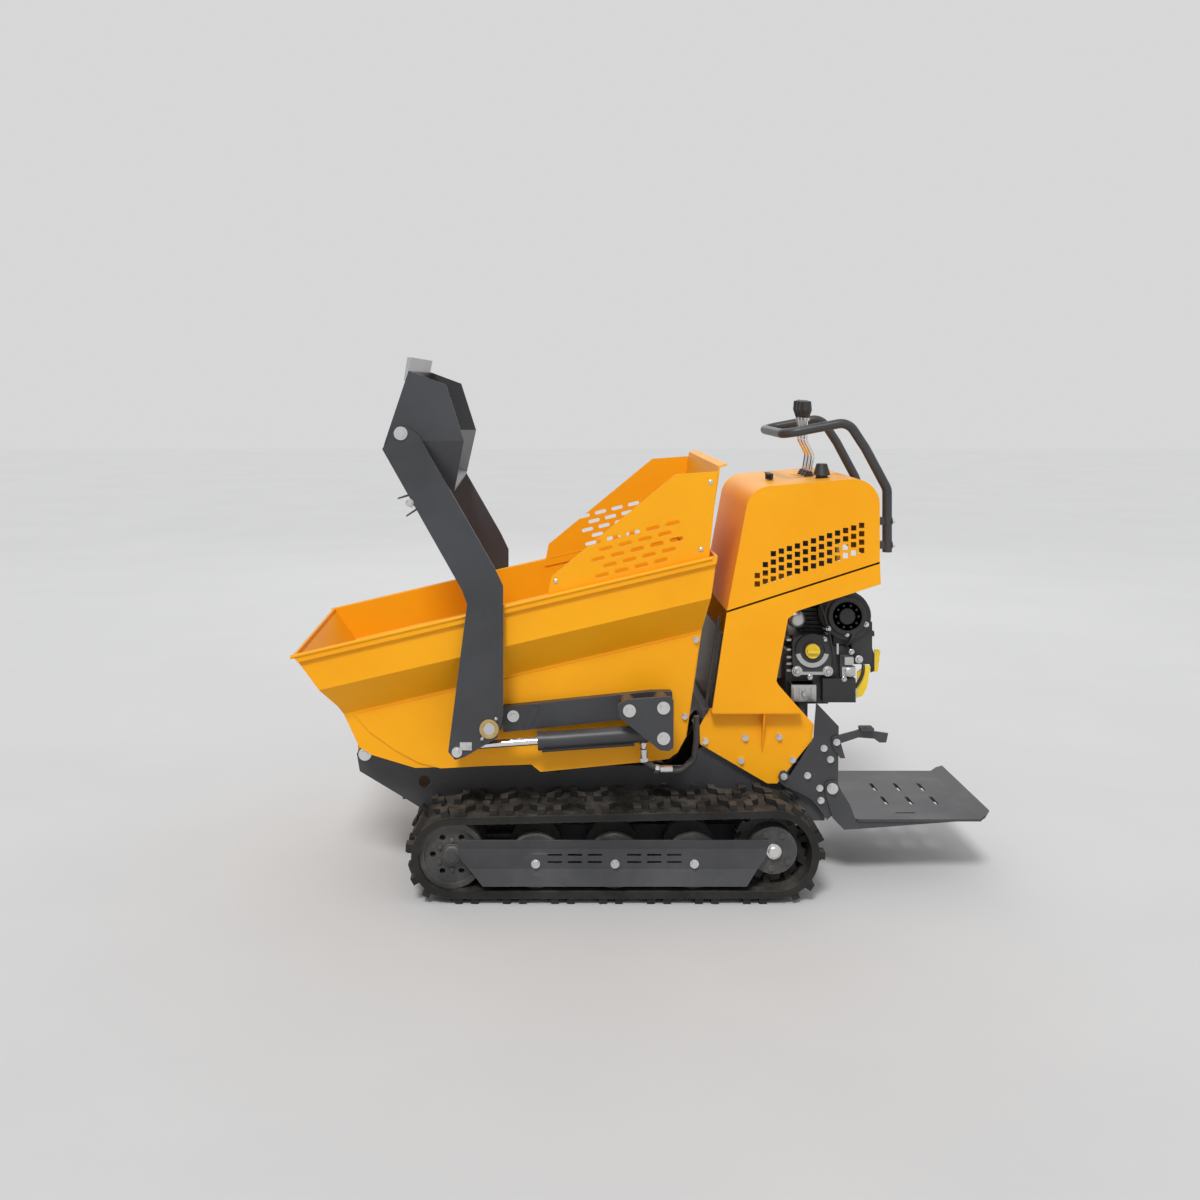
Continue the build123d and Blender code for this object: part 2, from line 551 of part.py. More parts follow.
# ---------------------------------------------------------------- loader arms and bucket
ARM_OUTLINE = [(-672, 1135), (-648, 1172), (-640, 1190), (-610, 1190), (-581, 1169), (-393, 841)]
ARM_OUTLINE += [(-370, 793), (-370, 471), (-385, 414), (-428, 389), (-465, 367), (-490, 359)]
ARM_OUTLINE += [(-507, 379), (-505, 397), (-460, 748), (-473, 783)]
BUSH_D = LIFT_PIVOT_D + 2 * FIT + 2 * BUSH_WALL
STOP_BOLT = (-603.0, 1001.0)
STOP_TABS = [[(-634, 1012), (-633, 1009), (-600, 1018), (-602, 1023)],
             [(-613, 968), (-611, 965), (-580, 985), (-583, 989)]]
with BuildPart() as loader_arms:
    plate(ARM_OUTLINE, ARM_INNER_Y, ARM_THICKNESS, corner=4)
    rod(LIFT_PIVOT, ARM_INNER_Y - 1, ARM_THICKNESS + 2, BUSH_D, mode=Mode.SUBTRACT)
    for tab in STOP_TABS:
        plate(tab, ARM_INNER_Y - 14, 20)
    both_sides()
save(loader_arms.part, "loader_arms")

with BuildPart() as arm_bushes:
    rod(LIFT_PIVOT, ARM_INNER_Y, ARM_THICKNESS + 3, BUSH_D)
    rod(LIFT_PIVOT, ARM_INNER_Y - 1, ARM_THICKNESS + 5, LIFT_PIVOT_D + 2 * FIT, mode=Mode.SUBTRACT)
    both_sides()
save(arm_bushes.part, "arm_bushes")

with BuildPart() as arm_hardware:
    rod(LIFT_TIP, ARM_OUTER_Y, 6, 26)
    bolt(LIFT_TIP, ARM_OUTER_Y + 6, 1, head_d=14, washer_d=18)
    bolt(BUCKET_BOLT, ARM_OUTER_Y, 1, head_d=22, washer_d=34)
    rod(STOP_BOLT, ARM_OUTER_Y, 4, 14)
    both_sides()
save(arm_hardware.part, "arm_hardware")

BUCKET_HALF = ARM_INNER_Y
BUCKET_LOWER_HALF = BUCKET_HALF - 47.0
BUCKET_OUTLINE = [(-672, 1135), (-607, 1330), (-513, 1295), (-468, 1154), (-495, 1025)]
BUCKET_FOLD_Z = 1155.0


def shovel(inset, mode):
    """The bucket's outside moved inward by a wall and out through its open side."""
    wide, narrow = BUCKET_HALF - inset, BUCKET_LOWER_HALF - inset
    half = [(wide, 1500), (wide, BUCKET_FOLD_Z), (narrow, 1025), (narrow, 950)]
    with BuildSketch(Plane.YZ.offset(-800)) as section:
        Polygon(*half, *[(-y, z) for y, z in reversed(half)], align=None)
    if inset:
        lip = along((-607, 1330), (-672, 1135), 0)
        shape = [(lip[0] + inset, lip[1] + 30), (lip[0] + inset, lip[1]), (-672 + inset * 1.3, 1136)]
        shape += [(-495 + inset, 1025 + inset * 1.2), (-480, 1000), (-380, 1000), (-380, 1400)]
    else:
        shape = BUCKET_OUTLINE
    with BuildPart(mode=Mode.PRIVATE) as body:
        extrude(section.sketch, amount=500)
        with BuildSketch(Plane.XZ.offset(500)) as outline:
            Polygon(*shape, align=None)
        extrude(outline.sketch, amount=-1000, mode=Mode.INTERSECT)
    add(body.part, mode=mode)


with BuildPart() as bucket:
    shovel(0, Mode.ADD)
    shovel(BUCKET_WALL, Mode.SUBTRACT)
save(bucket.part, "bucket")

with BuildPart() as cutting_edge:
    edge = [(-619, 1305), (-610, 1364), (-600, 1364), (-607, 1330), (-615, 1306)]
    plate(edge, -BUCKET_HALF, 2 * BUCKET_HALF)
save(cutting_edge.part, "cutting_edge")


# ---------------------------------------------------------------- hydraulic cylinders
def cylinder_barrel(base, tip, y, barrel_d, rod_d, barrel_end, pin_d, eye_width):
    """A barrel with its base eye, gland and bore, lying from base towards tip."""
    axis = line_plane(base, tip, y)
    bar(axis, 24, barrel_end - 24, barrel_d)
    bar(axis, barrel_end - 16, 16, barrel_d + 5)
    rod(base, y - eye_width / 2, eye_width, pin_d + 22)
    with BuildSketch(axis.offset(0)) as neck:
        Rectangle(eye_width, pin_d + 10)
    extrude(neck.sketch, amount=30)
    rod(base, y - eye_width, 2 * eye_width, pin_d + 2 * FIT, mode=Mode.SUBTRACT)
    bar(axis, 34, barrel_end, rod_d + 2 * FIT, mode=Mode.SUBTRACT)


def cylinder_rod(base, tip, y, rod_d, inner_start, pin_d, eye_width):
    """A polished rod with its eye at the tip, running in the barrel's bore."""
    axis = line_plane(base, tip, y)
    length, angle = toward(base, tip)
    bar(axis, inner_start, length - inner_start - pin_d * 0.7, rod_d)
    rod(tip, y - eye_width / 2, eye_width, pin_d + 14)
    rod(tip, y - eye_width, 2 * eye_width, pin_d + 4, mode=Mode.SUBTRACT)


LIFT_BARREL_END = 314.0
LIFT_ROD_START = 190.0
with BuildPart() as lift_barrel_right:
    cylinder_barrel(LIFT_BASE, LIFT_TIP, LIFT_CYLINDER_Y, LIFT_BARREL_D, LIFT_ROD_D, LIFT_BARREL_END,
                    CYLINDER_PIN_D, 30)
    port = along(LIFT_BASE, LIFT_TIP, 45)
    with Locations((port[0], LIFT_CYLINDER_Y, port[1] - LIFT_BARREL_D / 2 - 3)):
        Cylinder(8, 12)
    pipe = line_plane(LIFT_BASE, LIFT_TIP, LIFT_CYLINDER_Y)
    with BuildSketch(pipe.offset(70)) as tube:
        with Locations((0, LIFT_BARREL_D / 2 + 3)):
            Circle(5)
    extrude(tube.sketch, amount=LIFT_BARREL_END - 80)
save(lift_barrel_right.part, "lift_barrel_right")
with BuildPart() as lift_barrel_left:
    mirror(lift_barrel_right.part, about=Plane.XZ)
save(lift_barrel_left.part, "lift_barrel_left")

with BuildPart() as lift_rod_right:
    cylinder_rod(LIFT_BASE, LIFT_TIP, LIFT_CYLINDER_Y, LIFT_ROD_D, LIFT_ROD_START, CYLINDER_PIN_D, 24)
save(lift_rod_right.part, "lift_rod_right")
with BuildPart() as lift_rod_left:
    mirror(lift_rod_right.part, about=Plane.XZ)
save(lift_rod_left.part, "lift_rod_left")

TIP_BARREL_END = 470.0
with BuildPart() as tip_barrel:
    cylinder_barrel(TIP_BASE, TIP_PIN, 0, TIP_BARREL_D, TIP_ROD_D, TIP_BARREL_END, CYLINDER_PIN_D, 40)
save(tip_barrel.part, "tip_barrel")
with BuildPart() as tip_rod:
    cylinder_rod(TIP_BASE, TIP_PIN, 0, TIP_ROD_D, 300, CYLINDER_PIN_D, 30)
save(tip_rod.part, "tip_rod")

# ---------------------------------------------------------------- hydraulic hoses
HOSE_D = 15.0
ROUTE = [(-17, 376), (-14, 338), (28, 316), (78, 316), (112, 342), (119, 395), (119, 455)]
with BuildPart() as hydraulic_hoses:
    with BuildLine() as route:
        hose_points = [(x, LIFT_CYLINDER_Y - 8, z) for x, z in ROUTE]
        FilletPolyline(*hose_points, radius=[22, 30, 30, 24, 40])
    with BuildSketch(Plane(route.line @ 0, z_dir=route.line % 0)):
        Circle(HOSE_D / 2)
    sweep()
    both_sides()
save(hydraulic_hoses.part, "hydraulic_hoses")

# ---------------------------------------------------------------- hood and lower panels
HOOD_SHEET = 3.0
SEAM = [(207.0, 708.0), (603.0, 835.0)]
HOOD_CORNER = 66.0
HOOD_TOP = [(267.0, 1028.0), (603.0, 1056.0)]
seam_slope = (SEAM[1][1] - SEAM[0][1]) / (SEAM[1][0] - SEAM[0][0])
PANEL_FRONT_X = 168.0
HOLE_ROWS = [14, 14, 13, 12]
HOLE_PITCH = 20.8
HOLE_ROW_STEP = 21.7
LAST_HOLE = (556.0, 865.0)
NECK = (476.0, -118.0)
THROTTLE = (350.0, -40.0)


def hood_top(x):
    """Height of the hood's gently sloping top at a place along the machine."""
    (low_x, low_z), (high_x, high_z) = HOOD_TOP
    return low_z + (high_z - low_z) * (x - low_x) / (high_x - low_x)


def hood_block(outline, half_width, corner, mode=Mode.ADD):
    """A solid across the hood whose two upper side-view corners are round."""
    with BuildSketch(Plane.XZ.offset(half_width)) as profile:
        Polygon(*outline, align=None)
        fillet(profile.vertices().sort_by(Axis.Y)[-2:], corner)
    extrude(profile.sketch, amount=-2 * half_width, mode=mode)


with BuildPart() as hood:
    hood_block([SEAM[0], *HOOD_TOP, SEAM[1]], HOOD_Y, HOOD_CORNER)
    cavity = [(SEAM[0][0] + 4, SEAM[0][1] - 20), (HOOD_TOP[0][0] + 4, HOOD_TOP[0][1] - HOOD_SHEET)]
    cavity += [(HOOD_TOP[1][0] - HOOD_SHEET, HOOD_TOP[1][1] - HOOD_SHEET), (SEAM[1][0] - HOOD_SHEET, 800)]
    hood_block(cavity, HOOD_Y - HOOD_SHEET, HOOD_CORNER - HOOD_SHEET, mode=Mode.SUBTRACT)
    with BuildSketch(Plane.XZ.offset(HOOD_Y + 10)) as holes:
        for row, count in enumerate(HOLE_ROWS):
            for step in range(count):
                drop = step * HOLE_PITCH
                place = (LAST_HOLE[0] - drop, LAST_HOLE[1] - drop * seam_slope + row * HOLE_ROW_STEP)
                with Locations(place):
                    Rectangle(PERFORATION, PERFORATION)
    extrude(holes.sketch, amount=-2 * HOOD_Y - 20, mode=Mode.SUBTRACT)
    for step in (-1, 0, 1):
        lever_y = step * LEVER_SPACING
        block(LEVER_X - 34, LEVER_X + 34, lever_y - 9, lever_y + 9, 1030, 1070, mode=Mode.SUBTRACT)
    post(*NECK, 1030, 40, 38, mode=Mode.SUBTRACT)
save(hood.part, "hood")

with BuildPart() as lower_panels:
    side = [SEAM[0], (PANEL_FRONT_X, 447), (402, 447), (340, 517), (335, 527), (365, 688), (391, 709)]
    side += [(606, 778), SEAM[1]]
    plate(side, HOOD_Y - HOOD_SHEET, HOOD_SHEET)
    block(PANEL_FRONT_X, 402, CHEEK_Y, HOOD_Y, 447 - PANEL_SHEET, 447)
    flange = [(PANEL_FRONT_X, 447), (141, 400), (142, 353), (318, 250), (344, 250), (436, 364)]
    flange += [(440, 404), (402, 447)]
    plate(flange, CHEEK_Y, PANEL_SHEET)
    with BuildSketch(Plane.YZ.offset(303)) as gusset:
        Polygon((PANEL_FLANGE_Y, 330), (PANEL_FLANGE_Y, 445), (HOOD_Y - 2, 445), align=None)
    extrude(gusset.sketch, amount=4)
    both_sides()
save(lower_panels.part, "lower_panels")

with BuildPart() as rear_plates:
    outline = [(446, 462), (504, 401), (502, 234), (492, 172), (473, 156), (454, 185), (432, 211)]
    outline += [(396, 230), (364, 243), (350, 256), (346, 268), (353, 283), (364, 285), (376, 270)]
    outline += [(405, 316), (439, 370), (441, 404)]
    plate(outline, PANEL_FLANGE_Y, REAR_PLATE, corner=1.5)
    for spacer in ((462, 320), (470, 200)):
        rod(spacer, CHASSIS_Y, PANEL_FLANGE_Y - CHASSIS_Y, 30)
    both_sides()
save(rear_plates.part, "rear_plates")

FLANGE_BOLTS = [(155, 361), (260, 370), (349, 372), (249, 310), (384, 312)]
REAR_PLATE_BOLTS = [(465, 344), (482, 315), (422, 273), (454, 240), (457, 208), (360, 270)]
with BuildPart() as frame_bolts:
    for centre in FLANGE_BOLTS:
        bolt(centre, PANEL_FLANGE_Y, 1, head_d=12, washer_d=17)
    for centre in REAR_PLATE_BOLTS:
        bolt(centre, REAR_PLATE_OUTER_Y, 1, head_d=13, washer_d=18)
    pin_end = PLATFORM_SIDE_Y + 8
    for roller_x in ROLLER_XS:
        bolt((roller_x, ROLLER_Z), GUARD_MID_Y + GUARD_THICKNESS, 1, head_d=16, washer_d=22)
    rod(PLATFORM_PIVOT, REAR_PLATE_OUTER_Y, pin_end - REAR_PLATE_OUTER_Y, PLATFORM_PIN_D)
    bolt(PLATFORM_PIVOT, pin_end, 1, head_d=20, washer_d=29)
    both_sides()
    rod(LATCH_PIVOT, -PLATFORM_SIDE_Y - 8, 10, 10)
    bolt(LATCH_PIVOT, -PLATFORM_SIDE_Y - 8, -1, head_d=12, washer_d=18)
save(frame_bolts.part, "frame_bolts")

# ---------------------------------------------------------------- platform and its latch
PLATFORM_SHEET = 6.0
PLATFORM_FRONT = 522.0
TREAD_SLOT_XS = (660.0, 727.0, 794.0)
TREAD_SLOT_Y = 57.0
TREAD_SLOT_LENGTH = 65.0
TREAD_SLOT_WIDTH = 10.0
PLATFORM_UPSTAND = 28.0
with BuildPart() as platform:
    with BuildSketch(Plane.XY.offset(PLATFORM_TOP_Z - PLATFORM_SHEET)):
        rear_edge = REAR_X - PLATFORM_UPSTAND
        half = [(PLATFORM_FRONT, 0), (PLATFORM_FRONT, PLATFORM_HALF_WIDTH - 30)]
        half += [(PLATFORM_FRONT + 30, PLATFORM_HALF_WIDTH), (rear_edge, PLATFORM_HALF_WIDTH), (rear_edge, 0)]
        Polygon(*half, align=None)
        mirror(about=Plane.XZ)
    extrude(amount=PLATFORM_SHEET)
    with BuildSketch(Plane.XZ.offset(PLATFORM_HALF_WIDTH)) as flange_profile:
        top = PLATFORM_TOP_Z
        low_z = top - PLATFORM_SHEET
        Polygon((rear_edge - 4, low_z), (REAR_X, top + 15), (REAR_X - 4, top + 20), (rear_edge - 4, top),
                align=None)
    extrude(flange_profile.sketch, amount=-2 * PLATFORM_HALF_WIDTH)
    with BuildSketch(Plane.XY.offset(PLATFORM_TOP_Z - 20)) as slots:
        for x in TREAD_SLOT_XS:
            for y in (-TREAD_SLOT_Y, TREAD_SLOT_Y):
                with Locations(Location((x, y), 90)):
                    SlotOverall(TREAD_SLOT_LENGTH, TREAD_SLOT_WIDTH)
        with Locations((688, -156)):
            SlotOverall(54, 8)
        for side in (-1, 1):
            corner_y = side * PLATFORM_HALF_WIDTH
            Polygon((REAR_X - 18, corner_y), (REAR_X + 5, corner_y), (REAR_X + 5, corner_y - side * 25),
                    align=None)
    extrude(slots.sketch, amount=60, mode=Mode.SUBTRACT)
    px, pz = PLATFORM_PIVOT
    web = [(px - 18, pz - 14), (px - 18, pz + 10), (px - 8, pz + 18), (px + 12, pz + 18), (px + 23, pz - 6)]
    web += [(px + 46, pz - 42), (px + 60, PLATFORM_TOP_Z), (rear_edge - 10, PLATFORM_TOP_Z - 4)]
    web += [(px + 115, 139), (px + 31, 133), (px + 2, 163)]
    for side in (-1, 1):
        plate(web, side * (PLATFORM_SIDE_Y + 3) - 3, 6)
        rod(PLATFORM_PIVOT, side * (PLATFORM_SIDE_Y + 3) - 4, 8, PLATFORM_PIN_D + 2 * FIT, mode=Mode.SUBTRACT)
save(platform.part, "platform")

with BuildPart() as platform_latch:
    lx, lz = LATCH_PIVOT
    shape = [(lx - 12, lz - 8), (lx - 10, lz + 12), (lx + 56, lz + 30), (lx + 68, lz + 39), (lx + 90, lz + 39)]
    shape += [(lx + 92, lz + 28), (lx + 135, lz + 22), (lx + 130, lz - 2), (lx + 112, lz - 2)]
    shape += [(lx + 98, lz + 8), (lx + 57, lz + 11), (lx + 12, lz - 4), (lx + 23, lz - 43), (lx + 10, lz - 43)]
    plate(shape, -PLATFORM_SIDE_Y - 6, 6)
    block(lx + 60, lx + 94, -PLATFORM_SIDE_Y - 24, -PLATFORM_SIDE_Y + 8, lz + 33, lz + 39)
    rod(LATCH_PIVOT, -PLATFORM_SIDE_Y - 6, 6, 24)
    rod(LATCH_PIVOT, -PLATFORM_SIDE_Y - 7, 8, 10 + 2 * FIT, mode=Mode.SUBTRACT)
save(platform_latch.part, "platform_latch")

# ---------------------------------------------------------------- handle and controls
HANDLE_SIDE = [(639, 853), (639, 1019), (582, 1126), (536, 1196), (368, 1164)]
with BuildPart() as handle:
    with BuildLine() as tube_path:
        near = [(x, -HANDLE_HALF_WIDTH, z) for x, z in HANDLE_SIDE]
        far = [(x, HANDLE_HALF_WIDTH, z) for x, z in reversed(HANDLE_SIDE)]
        FilletPolyline(*near, *far, radius=40)
    with BuildSketch(Plane(tube_path.line @ 0, z_dir=tube_path.line % 0)):
        Circle(HANDLE_TUBE_D / 2)
    sweep()
    for side in (-1, 1):
        for z in (872, 935):
            with Locations((618, side * HANDLE_HALF_WIDTH, z)):
                Box(30, 16, 20)
save(handle.part, "handle")

KNOB_X = LEVER_X - 8
KNOB_Z = LEVER_PIVOT_Z + 178
LEVER_TIP_Z = KNOB_Z + 12
LEVER_BEND = [(LEVER_X, LEVER_PIVOT_Z), (LEVER_X + 12, 1100), (KNOB_X, 1140), (KNOB_X, LEVER_TIP_Z)]
LEVER_BEND_RADIUS = 24.0
LEVER_NAMES = ["lever_left", "lever_middle", "lever_right"]
for lever_name, step in zip(LEVER_NAMES, (-1, 0, 1)):
    lever_y = step * LEVER_SPACING
    with BuildPart() as lever:
        rod((LEVER_X, LEVER_PIVOT_Z), lever_y - 7, 14, 20)
        with BuildLine() as bend:
            bend_points = [(x, lever_y, z) for x, z in LEVER_BEND]
            FilletPolyline(*bend_points, radius=LEVER_BEND_RADIUS)
        with BuildSketch(Plane(bend.line @ 0, z_dir=bend.line % 0)):
            Circle(LEVER_ROD_D / 2)
        sweep()
        rod((LEVER_X, LEVER_PIVOT_Z), lever_y - 8, 16, LEVER_SHAFT_D + 2 * FIT, mode=Mode.SUBTRACT)
    save(lever.part, lever_name)
    with BuildPart() as knob:
        with BuildSketch(Plane.XZ.offset(-lever_y)):
            with BuildLine():
                Polyline((KNOB_X, KNOB_Z), (KNOB_X + 10, KNOB_Z), (KNOB_X + 17, KNOB_Z + 20))
                Polyline((KNOB_X + 17, KNOB_Z + 20), (KNOB_X + 15, KNOB_Z + 44), (KNOB_X, KNOB_Z + 48))
                Line((KNOB_X, KNOB_Z + 48), (KNOB_X, KNOB_Z))
            make_face()
        revolve(axis=Axis((KNOB_X, lever_y, KNOB_Z), (0, 0, 1)))
        post(KNOB_X, lever_y, KNOB_Z - 1, LEVER_TIP_Z - KNOB_Z + 1, LEVER_ROD_D, mode=Mode.SUBTRACT)
    save(knob.part, f"{lever_name}_knob")

with BuildPart() as valve_block:
    block(LEVER_X - 45, LEVER_X + 45, -75, 75, 950, 1000)
    for y in (-68, -21, 21, 62):
        block(LEVER_X - 12, LEVER_X + 12, y - 3 if y > 0 else y, y + 3 if y < 0 else y + 6, 1000, 1034)
    rod((LEVER_X, LEVER_PIVOT_Z), -68, 136, LEVER_SHAFT_D)
    block(LEVER_X - 20, LEVER_X, -HOOD_Y + HOOD_SHEET, HOOD_Y - HOOD_SHEET, 944, 950)
save(valve_block.part, "valve_block")

NECK_TOP_Z = hood_top(NECK[0]) + 8
with BuildPart() as throttle_lever:
    throttle_z = hood_top(THROTTLE[0]) + 1.5
    post(*THROTTLE, throttle_z, 14, 22)
    with Locations((THROTTLE[0] - 5, THROTTLE[1] - 22, throttle_z + 16)):
        Box(12, 62, 4)
save(throttle_lever.part, "throttle_lever")

with BuildPart() as tank_cap:
    with Locations((NECK[0], NECK[1], NECK_TOP_Z)):
        Cone(23, 14, 30, align=(Align.CENTER, Align.CENTER, Align.MIN))
save(tank_cap.part, "tank_cap")

with BuildPart() as tanks:
    block(290, 380, -185, -20, 800, 930)
    block(290, 560, 70, 190, 760, 900)
    block(380, 520, -185, -80, 880, 935)
    post(*NECK, 930, NECK_TOP_Z - 930, 32)
save(tanks.part, "tanks")

# ---------------------------------------------------------------- engine
with BuildPart() as engine_block:
    block(385, 560, -90, 100, DECK_Z, 590)
    fillet(engine_block.edges().filter_by(Axis.Y), 14)
    block(380, 510, -60, 90, 590, 612)
    for level in range(8):
        block(445, 508, -15, 100, 612 + level * 12, 616 + level * 12)
    block(452, 500, -8, 92, 600, 712)
    block(391, 459, -130, -88, 450, 496)
    block(527, 560, -110, -88, 511, 570)
    with BuildSketch(Plane.XZ.offset(88)):
        with Locations((451, 575)):
            RectangleRounded(104, 96, 24)
    extrude(amount=24)
save(engine_block.part, "engine_block")

with BuildPart() as oil_cap:
    with BuildSketch(Plane.XZ.offset(112 + GAP)):
        with Locations((451, 583)):
            Circle(19.5)
    extrude(amount=12)
    with Locations((451, -112 - 12 - 4, 583)):
        Box(30, 9, 8)
save(oil_cap.part, "oil_cap")

with BuildPart() as muffler:
    rod((412, 664), -112, 162, 50)
    fillet(muffler.edges().filter_by(GeomType.CIRCLE), 18)
    block(402, 422, -40, 30, 612, 642)
save(muffler.part, "muffler")

AIR_FILTER = (547.0, 674.0)
with BuildPart() as air_intake:
    rod(AIR_FILTER, -110, 90, 126)
    rod(AIR_FILTER, -118, 12, 84)
    block(562, 616, -95, 20, 542, 655)
    block(515, 570, -85, -20, 592, 640)
    block(479, 567, -118, -90, 445, 508)
    lever = [(606, 606), (620, 596), (632, 560), (632, 516), (622, 512), (618, 548), (606, 580)]
    plate(lever, -62, 5)
save(air_intake.part, "air_intake")

with BuildPart() as recoil_housing:
    rod((470, 540), 100, 50, 180)
    rod((470, 540), 150, 14, 120)
    rod((535, 620), 120, 24, 18)
save(recoil_housing.part, "recoil_housing")

GRIP = (563.0, 640.0)
with BuildPart() as recoil_grip:
    with Locations((GRIP[0], 132, GRIP[1])):
        Cylinder(9, 60, rotation=(90, 0, 0))
save(recoil_grip.part, "recoil_grip")

with BuildPart() as hydraulic_pump:
    block(235, 330, -60, 60, 470, 560)
    rod((282, 515), -75, 150, 70)
    block(330, 385, -30, 30, 490, 540)
    block(240, 325, -50, 50, DECK_Z, 471)
save(hydraulic_pump.part, "hydraulic_pump")

with BuildPart() as engine_tag:
    plate([(574, 452), (590, 457), (602, 480), (612, 536), (600, 541), (576, 522)], -98, 3)
    plate([(632, 514), (641, 513), (648, 570), (641, 576), (632, 574)], -62, 5)
save(engine_tag.part, "engine_tags")
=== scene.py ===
import json
from math import cos, pi, radians, sin

import bmesh
import bpy
from mathutils import Matrix, Vector


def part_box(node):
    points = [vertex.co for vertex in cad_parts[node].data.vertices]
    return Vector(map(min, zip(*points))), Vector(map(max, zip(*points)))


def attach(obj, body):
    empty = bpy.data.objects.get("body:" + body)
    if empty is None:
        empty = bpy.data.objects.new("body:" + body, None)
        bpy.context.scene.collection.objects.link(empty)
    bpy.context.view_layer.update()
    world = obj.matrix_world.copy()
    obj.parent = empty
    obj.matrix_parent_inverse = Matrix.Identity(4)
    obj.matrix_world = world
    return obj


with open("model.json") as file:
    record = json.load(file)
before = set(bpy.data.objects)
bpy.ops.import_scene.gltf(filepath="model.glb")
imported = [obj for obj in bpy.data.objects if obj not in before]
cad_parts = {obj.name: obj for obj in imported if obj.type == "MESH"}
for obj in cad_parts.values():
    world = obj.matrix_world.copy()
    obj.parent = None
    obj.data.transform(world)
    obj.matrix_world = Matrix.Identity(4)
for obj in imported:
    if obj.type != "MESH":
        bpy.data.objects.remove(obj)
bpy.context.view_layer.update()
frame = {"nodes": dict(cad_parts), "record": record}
nodes = frame["nodes"]
MM = 0.001


# ---------------------------------------------------------------- node helpers
def shader_group(name, inputs, outputs):
    """An empty shader node group with named float inputs and outputs."""
    tree = bpy.data.node_groups.new(name, "ShaderNodeTree")
    for label, value in inputs.items():
        socket = tree.interface.new_socket(name=label, in_out="INPUT", socket_type="NodeSocketFloat")
        socket.default_value = value
    for label in outputs:
        tree.interface.new_socket(name=label, in_out="OUTPUT", socket_type="NodeSocketFloat")
    return tree, tree.nodes.new("NodeGroupInput"), tree.nodes.new("NodeGroupOutput")


def math_node(tree, operation, first, second=None, clamp=False):
    """A Math node; each operand is a socket or a number."""
    node = tree.nodes.new("ShaderNodeMath")
    node.operation = operation
    node.use_clamp = clamp
    for slot, value in enumerate((first, second)):
        if value is None:
            continue
        if isinstance(value, bpy.types.NodeSocket):
            tree.links.new(value, node.inputs[slot])
        else:
            node.inputs[slot].default_value = value
    return node.outputs[0]


def noise(tree, scale, detail=4.0, roughness=0.6, stretch=(1, 1, 1)):
    """Object-space noise; scale is a socket or a number."""
    place = tree.nodes.new("ShaderNodeTexCoord")
    mapping = tree.nodes.new("ShaderNodeMapping")
    mapping.inputs["Scale"].default_value = stretch
    texture = tree.nodes.new("ShaderNodeTexNoise")
    texture.inputs["Detail"].default_value = detail
    texture.inputs["Roughness"].default_value = roughness
    tree.links.new(place.outputs["Object"], mapping.inputs["Vector"])
    tree.links.new(mapping.outputs["Vector"], texture.inputs["Vector"])
    if isinstance(scale, bpy.types.NodeSocket):
        tree.links.new(scale, texture.inputs["Scale"])
    else:
        texture.inputs["Scale"].default_value = scale
    return texture.outputs["Fac"]


def ramp(tree, value, low, high, to_low=0.0, to_high=1.0):
    """A smooth Map Range from low..high to to_low..to_high."""
    node = tree.nodes.new("ShaderNodeMapRange")
    node.interpolation_type = "SMOOTHSTEP"
    tree.links.new(value, node.inputs["Value"])
    for label, number in (("From Min", low), ("From Max", high), ("To Min", to_low), ("To Max", to_high)):
        if isinstance(number, bpy.types.NodeSocket):
            tree.links.new(number, node.inputs[label])
        else:
            node.inputs[label].default_value = number
    return node.outputs["Result"]


def normal_z(tree):
    """How far a surface faces up, from -1 to 1."""
    geometry = tree.nodes.new("ShaderNodeNewGeometry")
    split = tree.nodes.new("ShaderNodeSeparateXYZ")
    tree.links.new(geometry.outputs["Normal"], split.inputs[0])
    return split.outputs["Z"]


# ---------------------------------------------------------------- shared surface effects
def make_edge_wear():
    """Mask of paint rubbed off along sharp edges, broken up by noise."""
    tree, enter, leave = shader_group("Edge wear", {"Width": 0.002, "Amount": 0.5, "Scale": 90.0}, ["Mask"])
    bevel = tree.nodes.new("ShaderNodeBevel")
    bevel.samples = 4
    geometry = tree.nodes.new("ShaderNodeNewGeometry")
    compare = tree.nodes.new("ShaderNodeVectorMath")
    compare.operation = "DOT_PRODUCT"
    tree.links.new(enter.outputs["Width"], bevel.inputs["Radius"])
    tree.links.new(bevel.outputs["Normal"], compare.inputs[0])
    tree.links.new(geometry.outputs["Normal"], compare.inputs[1])
    edge = math_node(tree, "SUBTRACT", 1.0, compare.outputs["Value"], clamp=True)
    grit = noise(tree, enter.outputs["Scale"], detail=6.0, roughness=0.7)
    broken = math_node(tree, "MULTIPLY", edge, ramp(tree, grit, 0.38, 0.62, 0.2, 6.0))
    worn = math_node(tree, "MULTIPLY", broken, enter.outputs["Amount"], clamp=True)
    tree.links.new(worn, leave.inputs["Mask"])
    return tree


